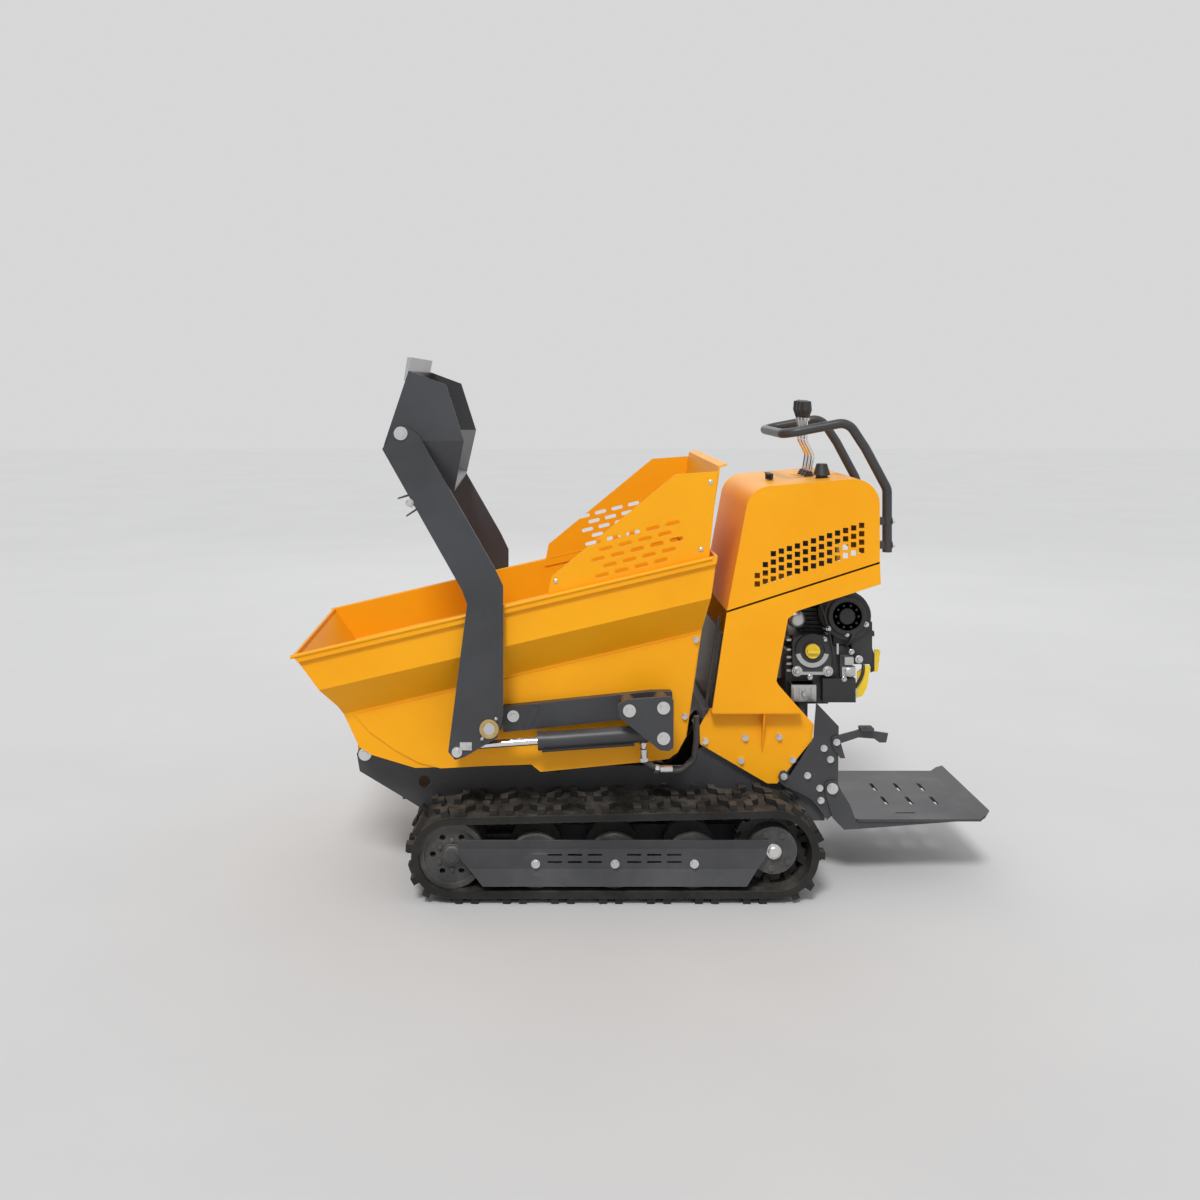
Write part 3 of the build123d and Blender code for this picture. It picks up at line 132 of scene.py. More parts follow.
def make_dust():
    """Mask of settled dust: more on upward faces and low on the machine, in soft patches."""
    inputs = {"Scale": 9.0, "Upward": 0.5, "Overall": 0.15, "Splash Height": 0.45}
    tree, enter, leave = shader_group("Settled dust", inputs, ["Mask"])
    up = ramp(tree, normal_z(tree), 0.15, 0.95)
    geometry = tree.nodes.new("ShaderNodeNewGeometry")
    split = tree.nodes.new("ShaderNodeSeparateXYZ")
    tree.links.new(geometry.outputs["Position"], split.inputs[0])
    low = ramp(tree, split.outputs["Z"], 0.0, enter.outputs["Splash Height"], 1.0, 0.25)
    patches = ramp(tree, noise(tree, enter.outputs["Scale"], detail=8.0, roughness=0.68), 0.36, 0.7)
    top = math_node(tree, "MULTIPLY", up, enter.outputs["Upward"])
    side = math_node(tree, "MULTIPLY", low, enter.outputs["Overall"])
    total = math_node(tree, "MULTIPLY", math_node(tree, "ADD", top, side), patches, clamp=True)
    tree.links.new(total, leave.inputs["Mask"])
    return tree


def make_scuffs():
    """Mask of thin directional scratches and rubbed streaks."""
    inputs = {"Scale": 14.0, "Density": 0.5}
    tree, enter, leave = shader_group("Scuffs", inputs, ["Mask"])
    long_way = noise(tree, enter.outputs["Scale"], detail=3.0, stretch=(0.4, 6.0, 5.0))
    cross = noise(tree, enter.outputs["Scale"], detail=3.0, stretch=(5.0, 0.6, 7.0))
    area = ramp(tree, noise(tree, 5.0, detail=2.0), 0.45, 0.7)
    lines = math_node(tree, "MAXIMUM", ramp(tree, long_way, 0.66, 0.72), ramp(tree, cross, 0.68, 0.73))
    shown = math_node(tree, "MULTIPLY", lines, area)
    mask = math_node(tree, "MULTIPLY", shown, enter.outputs["Density"], clamp=True)
    tree.links.new(mask, leave.inputs["Mask"])
    return tree


def make_grain():
    """Fine coating or casting texture: a height and a slow tone variation."""
    inputs = {"Fine Scale": 600.0, "Tone Scale": 3.0}
    tree, enter, leave = shader_group("Surface grain", inputs, ["Height", "Tone"])
    fine = noise(tree, enter.outputs["Fine Scale"], detail=2.0)
    dents = noise(tree, 12.0, detail=1.0)
    weak = math_node(tree, "MULTIPLY", fine, 0.25)
    height = math_node(tree, "ADD", weak, math_node(tree, "MULTIPLY", dents, 1.0))
    tree.links.new(height, leave.inputs["Height"])
    tree.links.new(noise(tree, enter.outputs["Tone Scale"], detail=5.0), leave.inputs["Tone"])
    return tree


EDGE_WEAR = make_edge_wear()
DUST = make_dust()
SCUFFS = make_scuffs()
GRAIN = make_grain()


# ---------------------------------------------------------------- materials
def use_group(tree, group, **values):
    """Place a shared effect in a material with its own values."""
    node = tree.nodes.new("ShaderNodeGroup")
    node.node_tree = group
    for label, value in values.items():
        node.inputs[label.replace("_", " ")].default_value = value
    return node


def mix_colour(tree, factor, first, second):
    """Blend two colours; each is a socket or an RGB tuple."""
    node = tree.nodes.new("ShaderNodeMix")
    node.data_type = "RGBA"
    tree.links.new(factor, node.inputs["Factor"])
    for socket, value in ((node.inputs[6], first), (node.inputs[7], second)):
        if isinstance(value, bpy.types.NodeSocket):
            tree.links.new(value, socket)
        else:
            socket.default_value = (*value, 1.0)
    return node.outputs[2]


DUST_TONE = (0.36, 0.33, 0.29)
TONE_ROUGHNESS = 0.16
RELIEF_DEPTH = 0.004
COAT_ROUGHNESS = 0.12


def finish_material(name, colour, dark, bare, roughness, metallic=0.0, wear=0.5, wear_width=0.002,
                    dust=0.4, dust_all=0.12, scuffs=0.3, bump=0.1, fine=600.0, coat=0.0, bare_metal=0.9,
                    dust_tone=DUST_TONE, specular=0.5):
    """A finish with tone variation, edge wear, scuffs, settled dust and a fine surface texture."""
    material = bpy.data.materials.new(name)
    material.use_nodes = True
    tree = material.node_tree
    shader = tree.nodes["Principled BSDF"]
    grain = use_group(tree, GRAIN, Fine_Scale=fine)
    worn = use_group(tree, EDGE_WEAR, Width=wear_width, Amount=wear)
    rubbed = use_group(tree, SCUFFS, Density=scuffs)
    settled = use_group(tree, DUST, Upward=dust, Overall=dust_all)
    tone = ramp(tree, grain.outputs["Tone"], 0.3, 0.7)
    base = mix_colour(tree, tone, dark, colour)
    bared = math_node(tree, "MAXIMUM", worn.outputs["Mask"], rubbed.outputs["Mask"])
    base = mix_colour(tree, bared, base, bare)
    base = mix_colour(tree, settled.outputs["Mask"], base, dust_tone)
    tree.links.new(base, shader.inputs["Base Color"])
    rough = math_node(tree, "MULTIPLY_ADD", grain.outputs["Tone"], TONE_ROUGHNESS)
    rough.node.inputs[2].default_value = roughness - TONE_ROUGHNESS / 2
    dusty = math_node(tree, "MULTIPLY", settled.outputs["Mask"], 0.5)
    tree.links.new(math_node(tree, "ADD", rough, dusty, clamp=True), shader.inputs["Roughness"])
    if metallic or bare_metal:
        metal = math_node(tree, "MULTIPLY", bared, bare_metal - metallic)
        metal = math_node(tree, "ADD", metal, metallic)
        clean = math_node(tree, "SUBTRACT", 1.0, settled.outputs["Mask"], clamp=True)
        tree.links.new(math_node(tree, "MULTIPLY", metal, clean), shader.inputs["Metallic"])
    shader.inputs["Specular IOR Level"].default_value = specular
    if coat:
        shader.inputs["Coat Weight"].default_value = coat
        shader.inputs["Coat Roughness"].default_value = COAT_ROUGHNESS
    relief = tree.nodes.new("ShaderNodeBump")
    relief.inputs["Strength"].default_value = bump
    relief.inputs["Distance"].default_value = RELIEF_DEPTH
    tree.links.new(grain.outputs["Height"], relief.inputs["Height"])
    tree.links.new(relief.outputs["Normal"], shader.inputs["Normal"])
    return material


MATERIALS = {
    "orange_paint": finish_material(
        "orange powder coat", (0.93, 0.41, 0.006), (0.90, 0.37, 0.004), (0.55, 0.38, 0.20), 0.42,
        wear=0.22, wear_width=0.0012, dust=0.12, dust_all=0.02, scuffs=0.10, bump=0.04, specular=0.22),
    "black_paint": finish_material(
        "charcoal powder coat", (0.048, 0.050, 0.057), (0.032, 0.033, 0.037), (0.26, 0.26, 0.27), 0.40,
        wear=0.35, wear_width=0.0015, dust=0.16, dust_all=0.05, scuffs=0.22, bump=0.07),
    "edge_steel": finish_material(
        "worn cutting edge steel", (0.50, 0.51, 0.52), (0.36, 0.37, 0.38), (0.75, 0.75, 0.74), 0.40,
        metallic=0.8, wear=0.6, scuffs=0.6, dust=0.2, bump=0.2),
    "track_rubber": finish_material(
        "track rubber", (0.013, 0.013, 0.012), (0.009, 0.009, 0.008), (0.10, 0.095, 0.085), 0.68,
        wear=0.35, wear_width=0.002, dust=0.45, dust_all=0.12, scuffs=0.1, bump=0.25,
        fine=300.0, bare_metal=0.0,
        dust_tone=(0.16, 0.145, 0.125), specular=0.3),
    "wheel_steel": finish_material(
        "dark wheel casting", (0.050, 0.051, 0.053), (0.030, 0.031, 0.032), (0.32, 0.30, 0.28), 0.5,
        wear=0.5, dust=0.4, dust_all=0.2, scuffs=0.3, bump=0.25, fine=350.0),
    "zinc_steel": finish_material(
        "bright zinc plate", (0.78, 0.78, 0.77), (0.62, 0.62, 0.62), (0.85, 0.85, 0.85), 0.28,
        metallic=1.0, wear=0.2, dust=0.15, dust_all=0.04, scuffs=0.2, bump=0.05, bare_metal=1.0),
    "bush_brass": finish_material(
        "satin brass", (0.80, 0.58, 0.24), (0.58, 0.40, 0.16), (0.9, 0.72, 0.36), 0.30,
        metallic=1.0, wear=0.2, dust=0.15, dust_all=0.05, scuffs=0.3, bump=0.05, bare_metal=1.0),
    "polished_rod": finish_material(
        "hard chrome", (0.86, 0.86, 0.87), (0.80, 0.80, 0.81), (0.9, 0.9, 0.9), 0.12,
        metallic=1.0, wear=0.0, dust=0.05, dust_all=0.02, scuffs=0.1, bump=0.01, bare_metal=1.0),
    "black_plastic": finish_material(
        "moulded black plastic", (0.030, 0.030, 0.032), (0.020, 0.020, 0.021), (0.10, 0.10, 0.10), 0.48,
        wear=0.3, dust=0.35, dust_all=0.06, scuffs=0.15, bump=0.12, fine=900.0, bare_metal=0.0),
    "engine_alloy": finish_material(
        "cast engine alloy", (0.66, 0.66, 0.64), (0.50, 0.50, 0.49), (0.80, 0.80, 0.79), 0.36,
        metallic=0.9, wear=0.3, dust=0.2, dust_all=0.06, scuffs=0.1, bump=0.25, fine=420.0),
    "yellow_plastic": finish_material(
        "bright yellow moulding", (0.92, 0.66, 0.02), (0.82, 0.55, 0.015), (0.95, 0.80, 0.30), 0.35,
        wear=0.2, dust=0.2, dust_all=0.04, scuffs=0.1, bump=0.05, bare_metal=0.0, coat=0.2),
    "hose_rubber": finish_material(
        "hose rubber", (0.030, 0.030, 0.031), (0.020, 0.020, 0.021), (0.09, 0.09, 0.09), 0.5,
        wear=0.1, dust=0.3, dust_all=0.1, scuffs=0.1, bump=0.15, fine=500.0, bare_metal=0.0),
}


def dress_nodes():
    """Give every CAD node its slot's material."""
    for part in frame["record"]["subparts"]:
        mesh = nodes[part["node"]].data
        mesh.materials.clear()
        mesh.materials.append(MATERIALS[part["material_slot"]])


dress_nodes()


# ---------------------------------------------------------------- mesh helpers
def at(x, y, z):
    """A point given in millimetres, in metres."""
    return Vector((x * MM, y * MM, z * MM))


def add_piece(name, shape, body, slot, smooth=35.0):
    """Turn a bmesh into a piece that rides on a body and takes a slot's material."""
    mesh = bpy.data.meshes.new(name)
    bmesh.ops.recalc_face_normals(shape, faces=shape.faces)
    shape.to_mesh(mesh)
    shape.free()
    mesh.materials.append(MATERIALS[slot])
    mesh.shade_smooth()
    mesh.set_sharp_from_angle(angle=radians(smooth))
    thing = bpy.data.objects.new(name, mesh)
    bpy.context.scene.collection.objects.link(thing)
    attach(thing, body)
    return thing


def frame_at(place, along):
    """A matrix that puts local +Z along a direction at a place."""
    return Matrix.Translation(place) @ Vector(along).to_track_quat("Z", "Y").to_matrix().to_4x4()


def lathe(shape, profile, place, along, steps=32):
    """Revolve (radius, height) pairs in millimetres about an axis through a place."""
    matrix = frame_at(place, along)
    rings = []
    for radius, height in profile:
        ring = []
        for step in range(steps):
            turn = 2 * pi * step / steps
            ring.append(shape.verts.new(matrix @ at(radius * cos(turn), radius * sin(turn), height)))
        rings.append(ring)
    for low, high in zip(rings, rings[1:]):
        for step in range(steps):
            after = (step + 1) % steps
            shape.faces.new((low[step], low[after], high[after], high[step]))
    shape.faces.new(list(reversed(rings[0])))
    shape.faces.new(rings[-1])


def slab(shape, low, high, bevel=1.5, turn=None):
    """A block between two corners in millimetres with bevelled edges, turned about its middle."""
    low, high = at(*low), at(*high)
    centre, size = (low + high) / 2, high - low
    place = Matrix.Translation(centre) @ (turn or Matrix.Identity(4)) @ Matrix.Diagonal((*size, 1))
    made = bmesh.ops.create_cube(shape, size=1.0, matrix=place)["verts"]
    edges = list({edge for vert in made for edge in vert.link_edges})
    bmesh.ops.bevel(shape, geom=edges, offset=bevel * MM, segments=2, affect="EDGES", profile=0.7)


def hexagon(shape, place, along, across=13.0, height=6.0, washer=18.0):
    """A washer and a chamfered hexagon head standing out of a face."""
    lip = 0.4
    thick = 1.8
    rim = washer / 2
    disc = [(rim - lip, 0), (rim, lip), (rim, thick - lip), (rim - lip, thick)]
    lathe(shape, disc, place, along, steps=28)
    corner = across / 2 / cos(pi / 6)
    profile = [(corner, thick), (corner, thick + height * 0.8), (corner * 0.84, thick + height)]
    lathe(shape, profile, place, along, steps=6)


def hose(name, points, diameter, body, slot):
    """A smooth round hose or wire through points in millimetres."""
    curve = bpy.data.curves.new(name, "CURVE")
    curve.dimensions = "3D"
    curve.bevel_depth = diameter / 2 * MM
    curve.bevel_resolution = 4
    curve.resolution_u = 10
    curve.use_fill_caps = True
    line = curve.splines.new("NURBS")
    line.points.add(len(points) - 1)
    for target, point in zip(line.points, points):
        target.co = (*at(*point), 1.0)
    line.order_u = 3
    line.use_endpoint_u = True
    curve.materials.append(MATERIALS[slot])
    thing = bpy.data.objects.new(name, curve)
    bpy.context.scene.collection.objects.link(thing)
    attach(thing, body)
    return thing


def seam(name, points, body, slot, width=5.0):
    """A weld bead of overlapping ripples along straight runs between points in millimetres."""
    shape = bmesh.new()
    for start, end in zip(points, points[1:]):
        start, end = at(*start), at(*end)
        run = end - start
        count = max(2, int(run.length / (width * 0.55 * MM)))
        for step in range(count):
            centre = start + run * (step + 0.5) / count
            matrix = Matrix.Translation(centre) @ run.to_track_quat("X", "Z").to_matrix().to_4x4()
            matrix = matrix @ Matrix.Diagonal((0.75, 1.0, 0.7, 1))
            bmesh.ops.create_uvsphere(shape, u_segments=8, v_segments=5, radius=width / 2 * MM, matrix=matrix)
    return add_piece(name, shape, body, slot, smooth=60)


SIDES = (("left", -1), ("right", 1))


# ---------------------------------------------------------------- controls and handle
def controls():
    """Hood-top screws, lever boots and collars, and the handle's bolts."""
    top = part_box("hood")[1].z / MM
    screws = bmesh.new()
    for x, drop in ((372, 17), (520, 5)):
        for y in (-84, -30, 30, 84):
            head = [(5.6, -3), (5.6, 1.2), (4.4, 2.8), (1.8, 3.2)]
            lathe(screws, head, at(x, y, top - drop), (0, 0, 1), 18)
    add_piece("console_screws", screws, "chassis", "zinc_steel")
    for label in ("left", "middle", "right"):
        low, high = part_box(f"lever_{label}")
        y = (low.y + high.y) / 2 / MM
        boot = bmesh.new()
        lathe(boot, [(17, 0), (17, 3), (13, 5), (14, 8), (11, 10), (12, 13), (9, 15), (9.6, 18), (7.2, 21)],
              at(457, y, top - 13), (0.1, 0, 1), 28)
        add_piece(f"lever_{label}_boot", boot, "chassis", "black_plastic")
        low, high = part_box(f"lever_{label}_knob")
        collar = bmesh.new()
        place = at((low.x + high.x) / 2 / MM, y, low.z / MM)
        lathe(collar, [(9.4, -9), (10.8, -8), (10.8, -1), (9.2, 0)], place, (0, 0, 1))
        add_piece(f"lever_{label}_collar", collar, f"lever_{label}", "zinc_steel")
    bolts = bmesh.new()
    for side in (-1, 1):
        for z in (872, 935):
            hexagon(bolts, at(651, side * 160, z), (1, 0, 0), 13, 6, 20)
    add_piece("handle_bolts", bolts, "chassis", "zinc_steel")


# ---------------------------------------------------------------- engine
COVER = (451, 583)
COVER_RIM = (45, 33)
COVER_STUDS = ((411, 528), (493, 528))
FILTER = (544, 675)
FILTER_DRUM = (547, 674)
ENGINE_BOLTS = ((411, 528, 7), (493, 528, 7), (484, 613, 5), (494, 642, 5), (544, 627, 5), (595, 653, 5),
                (556, 580, 5), (576, 560, 7), (536, 507, 5), (445, 512, 5))


def disc_bolt(shape, x, y, z, size=7.0):
    """A round flange with a hexagon head, facing the near side."""
    place = at(x, y, z)
    lathe(shape, [(size * 1.5, 0), (size * 1.5, 2), (size * 1.3, 2.8)], place, (0, -1, 0), 24)
    lathe(shape, [(size, 2.8), (size, 7), (size * 0.8, 8.4)], place, (0, -1, 0), 6)


def side_prism(shape, outline, y_outer, y_inner):
    """A prism across the machine from a side-view outline of (x, z) points in millimetres."""
    near = [shape.verts.new(at(x, y_outer, z)) for x, z in outline]
    far = [shape.verts.new(at(x, y_inner, z)) for x, z in outline]
    shape.faces.new(near)
    shape.faces.new(list(reversed(far)))
    for step in range(len(outline)):
        after = (step + 1) % len(outline)
        shape.faces.new((near[step], far[step], far[after], near[after]))


def arc(x, z, radius, start, end, steps=14):
    """Points round part of a circle in side view, angles in degrees."""
    turns = [radians(start + (end - start) * step / steps) for step in range(steps + 1)]
    return [(x + radius * cos(turn), z + radius * sin(turn)) for turn in turns]


def engine():
    """Fins, bolts, leads, pipes and covers on the general-purpose engine."""
    fins = bmesh.new()
    for step in range(9):
        z = 606 + step * 12
        slab(fins, (441, -24, z), (512, 106, z + 2.4), bevel=0.8)
    add_piece("cylinder_fins", fins, "chassis", "black_paint")
    edges = bmesh.new()
    for z in (527, 545, 563, 583, 609):
        slab(edges, (385, -104, z - 3), (398, -60, z + 3), bevel=1.2)
    add_piece("crankcase_fins", edges, "chassis", "engine_alloy")
    cover = bmesh.new()
    outer, inner = COVER_RIM
    side_prism(cover, arc(*COVER, outer, -8, 188) + arc(*COVER, inner, 188, -8), -119, -108)
    side_prism(cover, arc(*COVER, 24, 0, 340, 20), -116, -108)
    add_piece("crankcase_cover", cover, "chassis", "black_plastic")
    ring = bmesh.new()
    side_prism(ring, arc(*COVER, outer, 192, 348) + arc(*COVER, inner, 348, 192), -118, -108)
    side_prism(ring, [(402, 518), (500, 518), (500, 526), (402, 526)], -114, -106)
    for x, z in COVER_STUDS:
        side_prism(ring, arc(x, z, 14, 0, 340, 20), -116, -106)
    slab(ring, (515, -121, 574), (521, -112, 603), bevel=1.2)
    add_piece("crankcase_rim", ring, "chassis", "engine_alloy")
    bolts = bmesh.new()
    for x, z, size in ENGINE_BOLTS:
        disc_bolt(bolts, x, -116, z, size)
    add_piece("engine_bolts", bolts, "chassis", "zinc_steel")
    intake = bmesh.new()
    lathe(intake, [(50.5, 0), (52, 2), (52, 9), (49, 12), (40, 13), (38, 10), (22, 10), (20, 13), (8, 14)],
          at(FILTER[0], -108, FILTER[1]), (0, -1, 0), 48)
    for step in range(4):
        lathe(intake, [(63.5, 0), (65.4, 1), (65.4, 5), (63.5, 6)],
              at(FILTER_DRUM[0], -46 - step * 14, FILTER_DRUM[1]), (0, -1, 0), 48)
    for step in range(10):
        turn = 2 * pi * step / 10
        place = at(FILTER[0] + 30 * cos(turn), -118, FILTER[1] + 30 * sin(turn))
        lathe(intake, [(3.4, 0), (3.4, 2), (2.4, 3)], place, (0, -1, 0), 12)
    add_piece("air_housing_ring", intake, "chassis", "black_plastic")
    box = bmesh.new()
    slab(box, (560, -98, 545), (617, 22, 657), bevel=5)
    for step in range(5):
        slab(box, (614, -88 + step * 22, 552), (619, -80 + step * 22, 650), bevel=1)
    for y in (-84, 0):
        slab(box, (614, y - 8, 616), (624, y + 8, 630), bevel=2)
    add_piece("air_filter_box", box, "chassis", "black_plastic")
    carburettor = bmesh.new()
    slab(carburettor, (530, -118, 514), (567, -100, 540), bevel=3)
    slab(carburettor, (536, -122, 545), (561, -104, 567), bevel=4)
    lathe(carburettor, [(11, 0), (12, 2), (12, 8), (9, 10)], at(549, -118, 527), (0, -1, 0), 24)
    add_piece("carburettor_body", carburettor, "chassis", "engine_alloy")
    plug = bmesh.new()
    boot = [(9, 0), (9, 6), (5, 8), (5, 20), (9, 22), (9, 44), (6, 48)]
    lathe(plug, boot, at(476, -24, 690), (0, -0.8, 0.6), 20)
    add_piece("spark_plug_cap", plug, "chassis", "black_plastic")
    hose("ignition_lead", [(476, -62, 718), (476, -90, 740), (500, -80, 752), (530, -20, 730), (540, 60, 690),
                           (530, 100, 660)], 7, "chassis", "hose_rubber")
    hose("fuel_line", [(545, -96, 590), (552, -120, 605), (566, -118, 640), (560, -70, 690), (540, 40, 740),
                       (520, 90, 762)], 8, "chassis", "hose_rubber")
    hose("throttle_cable", [(350, -60, 1046), (350, -80, 990), (380, -110, 900), (440, -118, 780),
                            (500, -122, 640), (512, -121, 528)], 5, "chassis", "hose_rubber")
    hose("wiring_loom", [(560, -100, 470), (585, -104, 500), (596, -98, 545), (588, -60, 575)], 9,
         "chassis", "hose_rubber")
    grille = bmesh.new()
    for ring in range(6):
        radius = 20 + ring * 9
        hoop = [(radius, 0), (radius + 3, 0), (radius + 3, 3), (radius, 3)]
        lathe(grille, hoop, at(470, 164, 540), (0, 1, 0), 40)
    for step in range(6):
        turn = Matrix.Rotation(pi * step / 6, 4, "Y")
        slab(grille, (402, 164, 537), (538, 166, 543), 0.6, turn)
    add_piece("recoil_grille", grille, "chassis", "black_plastic")
    mounts = bmesh.new()
    for x in (400, 545):
        for y in (-80, 90):
            slab(mounts, (x - 16, y - 14, 440), (x + 16, y + 14, 450), 2)
            hexagon(mounts, at(x, y, 450), (0, 0, 1), 13, 8, 20)
    add_piece("engine_feet", mounts, "chassis", "zinc_steel")
    lower = bmesh.new()
    slab(lower, (391, -134, 450), (459, -88, 496), bevel=6)
    for step in range(4):
        slab(lower, (396 + step * 16, -137, 455), (403 + step * 16, -133, 491), bevel=1.5)
    hexagon(lower, at(425, -134, 473), (0, -1, 0), 14, 7, 20)
    add_piece("oil_sump_side", lower, "chassis", "engine_alloy")


# ---------------------------------------------------------------- loader and cylinders
def loader():
    """Grease nipples, keepers, pin keepers and pipework on the loader."""
    for label, side in SIDES:
        face = side * 345
        fittings = bmesh.new()
        for x, z, lean in ((-388, 462, 0.6), (-422, 412, -0.6)):
            lathe(fittings, [(4, 0), (4, 3), (2.4, 4), (2.4, 7), (3.4, 8), (3.4, 11), (2, 12.5)],
                  at(x, face, z), (lean * 0.3, side, 0.2), 14)
        add_piece(f"grease_nipples_{label}", fittings, "loader", "zinc_steel")
        keeper = bmesh.new()
        slab(keeper, (-478, min(face, face + side * 3), 384), (-448, max(face, face + side * 3), 404), 1.2)
        hexagon(keeper, at(-456, face + side * 3, 394), (0, side, 0), 8, 4, 11)
        add_piece(f"pin_keeper_{label}", keeper, "loader", "zinc_steel")
        ring = bmesh.new()
        lathe(ring, [(23.5, 0), (24, 1), (24, 4.4), (22.6, 5), (17.4, 5), (16.6, 4.2)], at(-405, face, 437),
              (0, side, 0), 48)
        add_piece(f"bush_rim_{label}", ring, "loader", "bush_brass")
        cap = bmesh.new()
        lathe(cap, [(15.5, 0), (15.5, 5.5), (14, 7), (5, 7.4)], at(-405, side * 343, 437), (0, side, 0), 40)
        add_piece(f"pivot_cap_{label}", cap, "skip", "zinc_steel")
        stop = bmesh.new()
        hexagon(stop, at(-603, side * 347, 1001), (0, side, 0), 14, 7, 20)
        lathe(stop, [(5, -6), (5, 14), (4, 15)], at(-600, side * 338, 994), (-0.86, 0, 0.5), 16)
        add_piece(f"stop_bolt_{label}", stop, "loader", "zinc_steel")
        body = f"lift_barrel_{label}"
        fitting = bmesh.new()
        lathe(fitting, [(9, 0), (11, 1), (11, 9), (8, 10), (8, 16)], at(-16, side * 300, 392), (0, 0, -1), 6)
        add_piece(f"port_nut_{label}", fitting, body, "zinc_steel")
        elbow = bmesh.new()
        lathe(elbow, [(8.6, 0), (9.6, 1), (9.6, 22), (8.8, 24)], at(-15, side * 292, 372), (0.05, 0, -1), 24)
        lathe(elbow, [(10.5, 0), (10.5, 10)], at(-15, side * 292, 350), (0.2, 0, -1), 6)
        lathe(elbow, [(8.6, 0), (9.8, 1), (9.8, 30), (8.8, 32)], at(26, side * 292, 320), (1, 0, 0), 24)
        lathe(elbow, [(11, 0), (11, 10)], at(14, side * 292, 322), (1, 0, -0.15), 6)
        add_piece(f"hose_ferrules_{label}", elbow, "skip", "zinc_steel")


# ---------------------------------------------------------------- skip, hood and platform
def skip_details():
    """Weld seams, folded stiffeners and guard screws on the skip."""
    for label, side in SIDES:
        run = [(-245, side * 310, 771), (140, side * 310, 861)]
        seam(f"guard_seam_{label}", run, "skip", "orange_paint", 5)
        bead = bmesh.new()
        lathe(bead, [(5.0, -12), (5.0, 1075)], at(-893, side * 326, 614), (0.9735, 0, 0.2284), 12)
        add_piece(f"rim_bead_{label}", bead, "skip", "orange_paint")
        screws = bmesh.new()
        for x, z in ((-238, 800), (128, 880), (152, 1050)):
            lathe(screws, [(6, 0), (6, 1.2), (4, 3), (1, 3.4)], at(x, side * 313, z), (0, side, 0), 16)
        add_piece(f"guard_screws_{label}", screws, "skip", "zinc_steel")
    seam("floor_seam_front", [(-735, -225, 366), (-735, 225, 366)], "skip", "orange_paint", 6)
    lip = bmesh.new()
    lathe(lip, [(4.5, -325), (4.5, 325)], at(-896, 0, 613), (0, 1, 0), 12)
    add_piece("lip_bead", lip, "skip", "orange_paint")


def hood_details():
    """Painted shade strips along the hood-to-panel gaps, lower panel folds and the dark seal strip ahead of
    the panels.
    """
    for label, side in SIDES:
        # A thin black strip along the hood's lower edge: painted shade standing in for the shadowed gap
        # between hood and lower panel.
        gap_shade_strip = bmesh.new()
        lower = [(207, 704), (207, 709), (603, 836), (603, 831)]
        side_prism(gap_shade_strip, lower, side * 222, side * 220)
        add_piece(f"hood_gap_shade_{label}", gap_shade_strip, "chassis", "black_plastic")
        fold = bmesh.new()
        slab(fold, (170, min(side * 183, side * 221), 441), (396, max(side * 183, side * 221), 444.4), 1.0)
        add_piece(f"shelf_fold_{label}", fold, "chassis", "orange_paint")
        strip = bmesh.new()
        turn = Matrix.Rotation(radians(8.4), 4, "Y")
        slab(strip, (168, min(side * 196, side * 206), 452), (176, max(side * 196, side * 206), 690), 2, turn)
        add_piece(f"seal_strip_{label}", strip, "chassis", "black_plastic")
    catch = bmesh.new()
    slab(catch, (603, -22, 870), (609, 22, 920), 2)
    lathe(catch, [(8, 0), (8, 5), (6, 7)], at(609, 0, 905), (1, 0, 0), 24)
    add_piece("hood_catch", catch, "chassis", "zinc_steel")


def platform_details():
    """Underside ribs and foot-pad grip on the platform and latch, and weld seams on the rear plates."""
    ribs = bmesh.new()
    for y in (-120, 0, 120):
        slab(ribs, (560, y - 2, 140), (840, y + 2, 157), 1)
    add_piece("platform_ribs", ribs, "platform", "black_paint")
    grip = bmesh.new()
    low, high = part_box("platform_latch")
    for step in range(6):
        x = 560 + step * 5
        slab(grip, (x, low.y / MM + 1, high.z / MM), (x + 2.4, low.y / MM + 30, high.z / MM + 1.4), 0.5)
    add_piece("latch_pad_grip", grip, "platform_latch", "black_plastic")
    for label, side in SIDES:
        seam(f"rear_plate_seam_{label}", [(440, side * 184, 300), (440, side * 184, 342)], "chassis",
             "black_paint", 5)


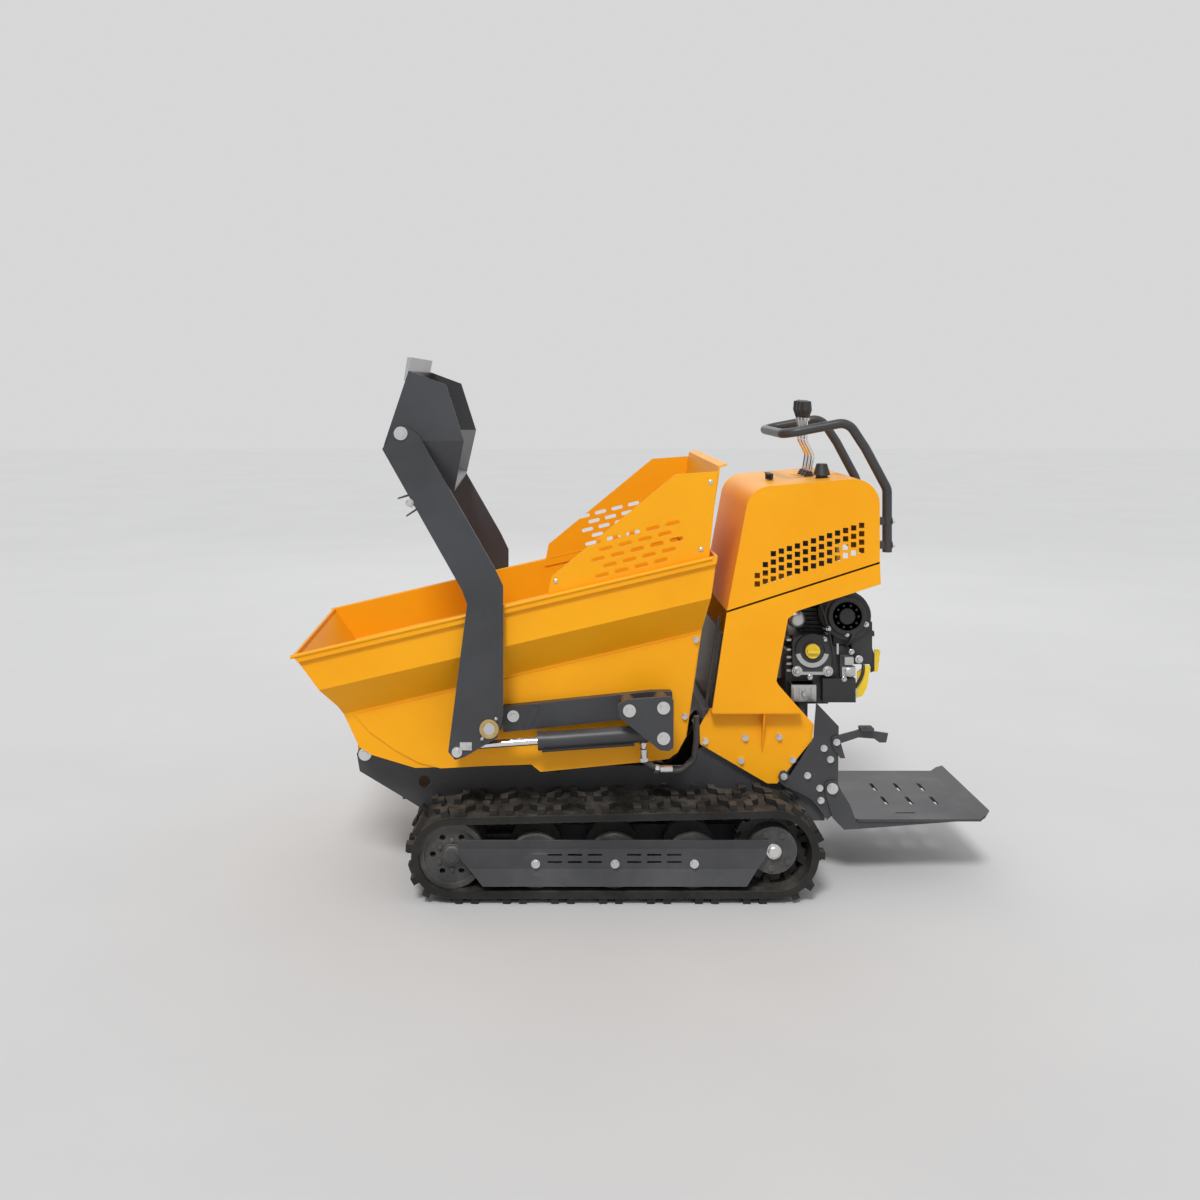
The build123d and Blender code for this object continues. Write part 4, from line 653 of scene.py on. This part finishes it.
def track_details():
    """Idler caps and bolts, sprocket hub nuts, and tension adjusters."""
    for label, side in SIDES:
        low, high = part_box(f"idler_{label}")
        centre = (low + high) / 2 / MM
        outer = side * max(abs(low.y), abs(high.y)) / MM
        cap = bmesh.new()
        lathe(cap, [(24, -6), (24, 3), (21, 6), (8, 8)], at(centre.x, outer, centre.z), (0, side, 0), 36)
        for step in range(6):
            turn = 2 * pi * (step + 0.5) / 6
            hexagon(cap, at(centre.x + 36 * cos(turn), outer - side * 7, centre.z + 36 * sin(turn)),
                    (0, side, 0), 9, 5, 13)
        add_piece(f"idler_cap_{label}", cap, f"idler_{label}", "wheel_steel")
        low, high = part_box(f"sprocket_{label}")
        centre = (low + high) / 2 / MM
        outer = side * max(abs(low.y), abs(high.y)) / MM
        hub = bmesh.new()
        hexagon(hub, at(centre.x, outer, centre.z), (0, side, 0), 27, 8, 38)
        add_piece(f"sprocket_nut_{label}", hub, f"sprocket_{label}", "zinc_steel")
        tensioner = bmesh.new()
        lathe(tensioner, [(9, 0), (9, 150), (7, 152)], at(-455, side * 190, 116), (1, 0, 0), 20)
        lathe(tensioner, [(15, 60), (15, 130)], at(-455, side * 190, 116), (1, 0, 0), 24)
        add_piece(f"track_tensioner_{label}", tensioner, "chassis", "black_paint")
        for place in ("front", "middle", "rear"):
            name = f"roller_{place}_{label}"
            low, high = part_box(name)
            middle = (low + high) / 2 / MM
            outer = side * max(abs(low.y), abs(high.y)) / MM
            seal = bmesh.new()
            lathe(seal, [(27, -8), (27, 1), (24, 4), (18, 4)], at(middle.x, outer - side * 3, middle.z),
                  (0, side, 0), 36)
            add_piece(f"{name}_seal", seal, name, "black_plastic")


def under_skip():
    """Fittings and hoses under the skip."""
    fittings = bmesh.new()
    for x, z in ((-226, 292), (-258, 276)):
        union = [(8, 0), (8, 14), (6, 16), (6, 30), (8, 31), (8, 38)]
        lathe(fittings, union, at(x, -150, z), (0.9, -0.4, 0.1), 6)
    add_piece("relay_fittings", fittings, "chassis", "bush_brass")
    for label, side in SIDES:
        hose(f"tip_feed_{label}", [(160, side * 40, 380), (120, side * 45, 330), (90, side * 44, 270),
                                   (40, side * 40, 236)], 12, "chassis", "hose_rubber")


controls()
engine()
loader()
skip_details()
hood_details()
platform_details()
track_details()
under_skip()


# ---------------------------------------------------------------- stage, lights and camera
FLOOR_HALF = 20.0
FLOOR_GREYS = ((0.590, 0.592, 0.595), (0.610, 0.612, 0.613))
SURROUND_GREYS = ((0.13, 0.13, 0.135), (0.68, 0.68, 0.685))
KEY_DIRECTION = (1.0, 3.7, -4.6)
KEY_STRENGTH = 1.85
KEY_SOFTNESS = 14
CAMERA_PLACE = (-0.293, -3.520, 1.312)
CAMERA_LENS = 38.19
CAMERA_SHIFT = (0.055, -0.185)


def pale_floor():
    """A wide, plain, pale floor."""
    half = FLOOR_HALF
    mesh = bpy.data.meshes.new("floor")
    corners = [(-half, -half, 0), (half, -half, 0), (half, half, 0), (-half, half, 0)]
    mesh.from_pydata(corners, [], [(0, 1, 2, 3)])
    floor = bpy.data.objects.new("floor", mesh)
    bpy.context.scene.collection.objects.link(floor)
    material = bpy.data.materials.new("pale concrete")
    material.use_nodes = True
    tree = material.node_tree
    shader = tree.nodes["Principled BSDF"]
    mottle = ramp(tree, noise(tree, 1.3, detail=8.0), 0.3, 0.7)
    tree.links.new(mix_colour(tree, mottle, *FLOOR_GREYS), shader.inputs["Base Color"])
    shader.inputs["Roughness"].default_value = 0.75
    mesh.materials.append(material)


def area_light(name, place, aim, size, power):
    """A large soft light aimed at a point."""
    light = bpy.data.lights.new(name, "AREA")
    light.shape = "SQUARE"
    light.size = size
    light.energy = power
    lamp = bpy.data.objects.new(name, light)
    lamp.location = place
    lamp.rotation_euler = (Vector(aim) - Vector(place)).to_track_quat("-Z", "Y").to_euler()
    bpy.context.scene.collection.objects.link(lamp)


def surround():
    """A pale grey world that darkens past the front of the machine."""
    world = bpy.data.worlds.new("pale surround")
    world.use_nodes = True
    tree = world.node_tree
    place = tree.nodes.new("ShaderNodeTexCoord")
    split = tree.nodes.new("ShaderNodeSeparateXYZ")
    tree.links.new(place.outputs["Generated"], split.inputs[0])
    front = ramp(tree, split.outputs["X"], -0.95, -0.55)
    shade = mix_colour(tree, front, *SURROUND_GREYS)
    tree.links.new(shade, tree.nodes["Background"].inputs["Color"])
    tree.nodes["Background"].inputs["Strength"].default_value = 1.0
    bpy.context.scene.world = world


def studio():
    """One high soft key light from the near side, a weak light behind and a pale surround."""
    light = bpy.data.lights.new("key", "SUN")
    light.energy = KEY_STRENGTH
    light.angle = radians(KEY_SOFTNESS)
    lamp = bpy.data.objects.new("key", light)
    lamp.rotation_euler = Vector(KEY_DIRECTION).to_track_quat("-Z", "Y").to_euler()
    bpy.context.scene.collection.objects.link(lamp)
    area_light("behind", (0.5, 5.5, 3.5), (0, 0, 0.6), 3.0, 30)
    surround()
    bpy.context.scene.view_settings.view_transform = "Standard"


def set_camera():
    """A level side-on camera, framed with lens shift."""
    camera = bpy.data.cameras.new("camera")
    camera.lens = CAMERA_LENS
    camera.sensor_width = 36.0
    camera.shift_x, camera.shift_y = CAMERA_SHIFT
    holder = bpy.data.objects.new("camera", camera)
    holder.location = CAMERA_PLACE
    holder.rotation_euler = (pi / 2, 0, 0)
    bpy.context.scene.collection.objects.link(holder)
    bpy.context.scene.camera = holder


pale_floor()
studio()
set_camera()
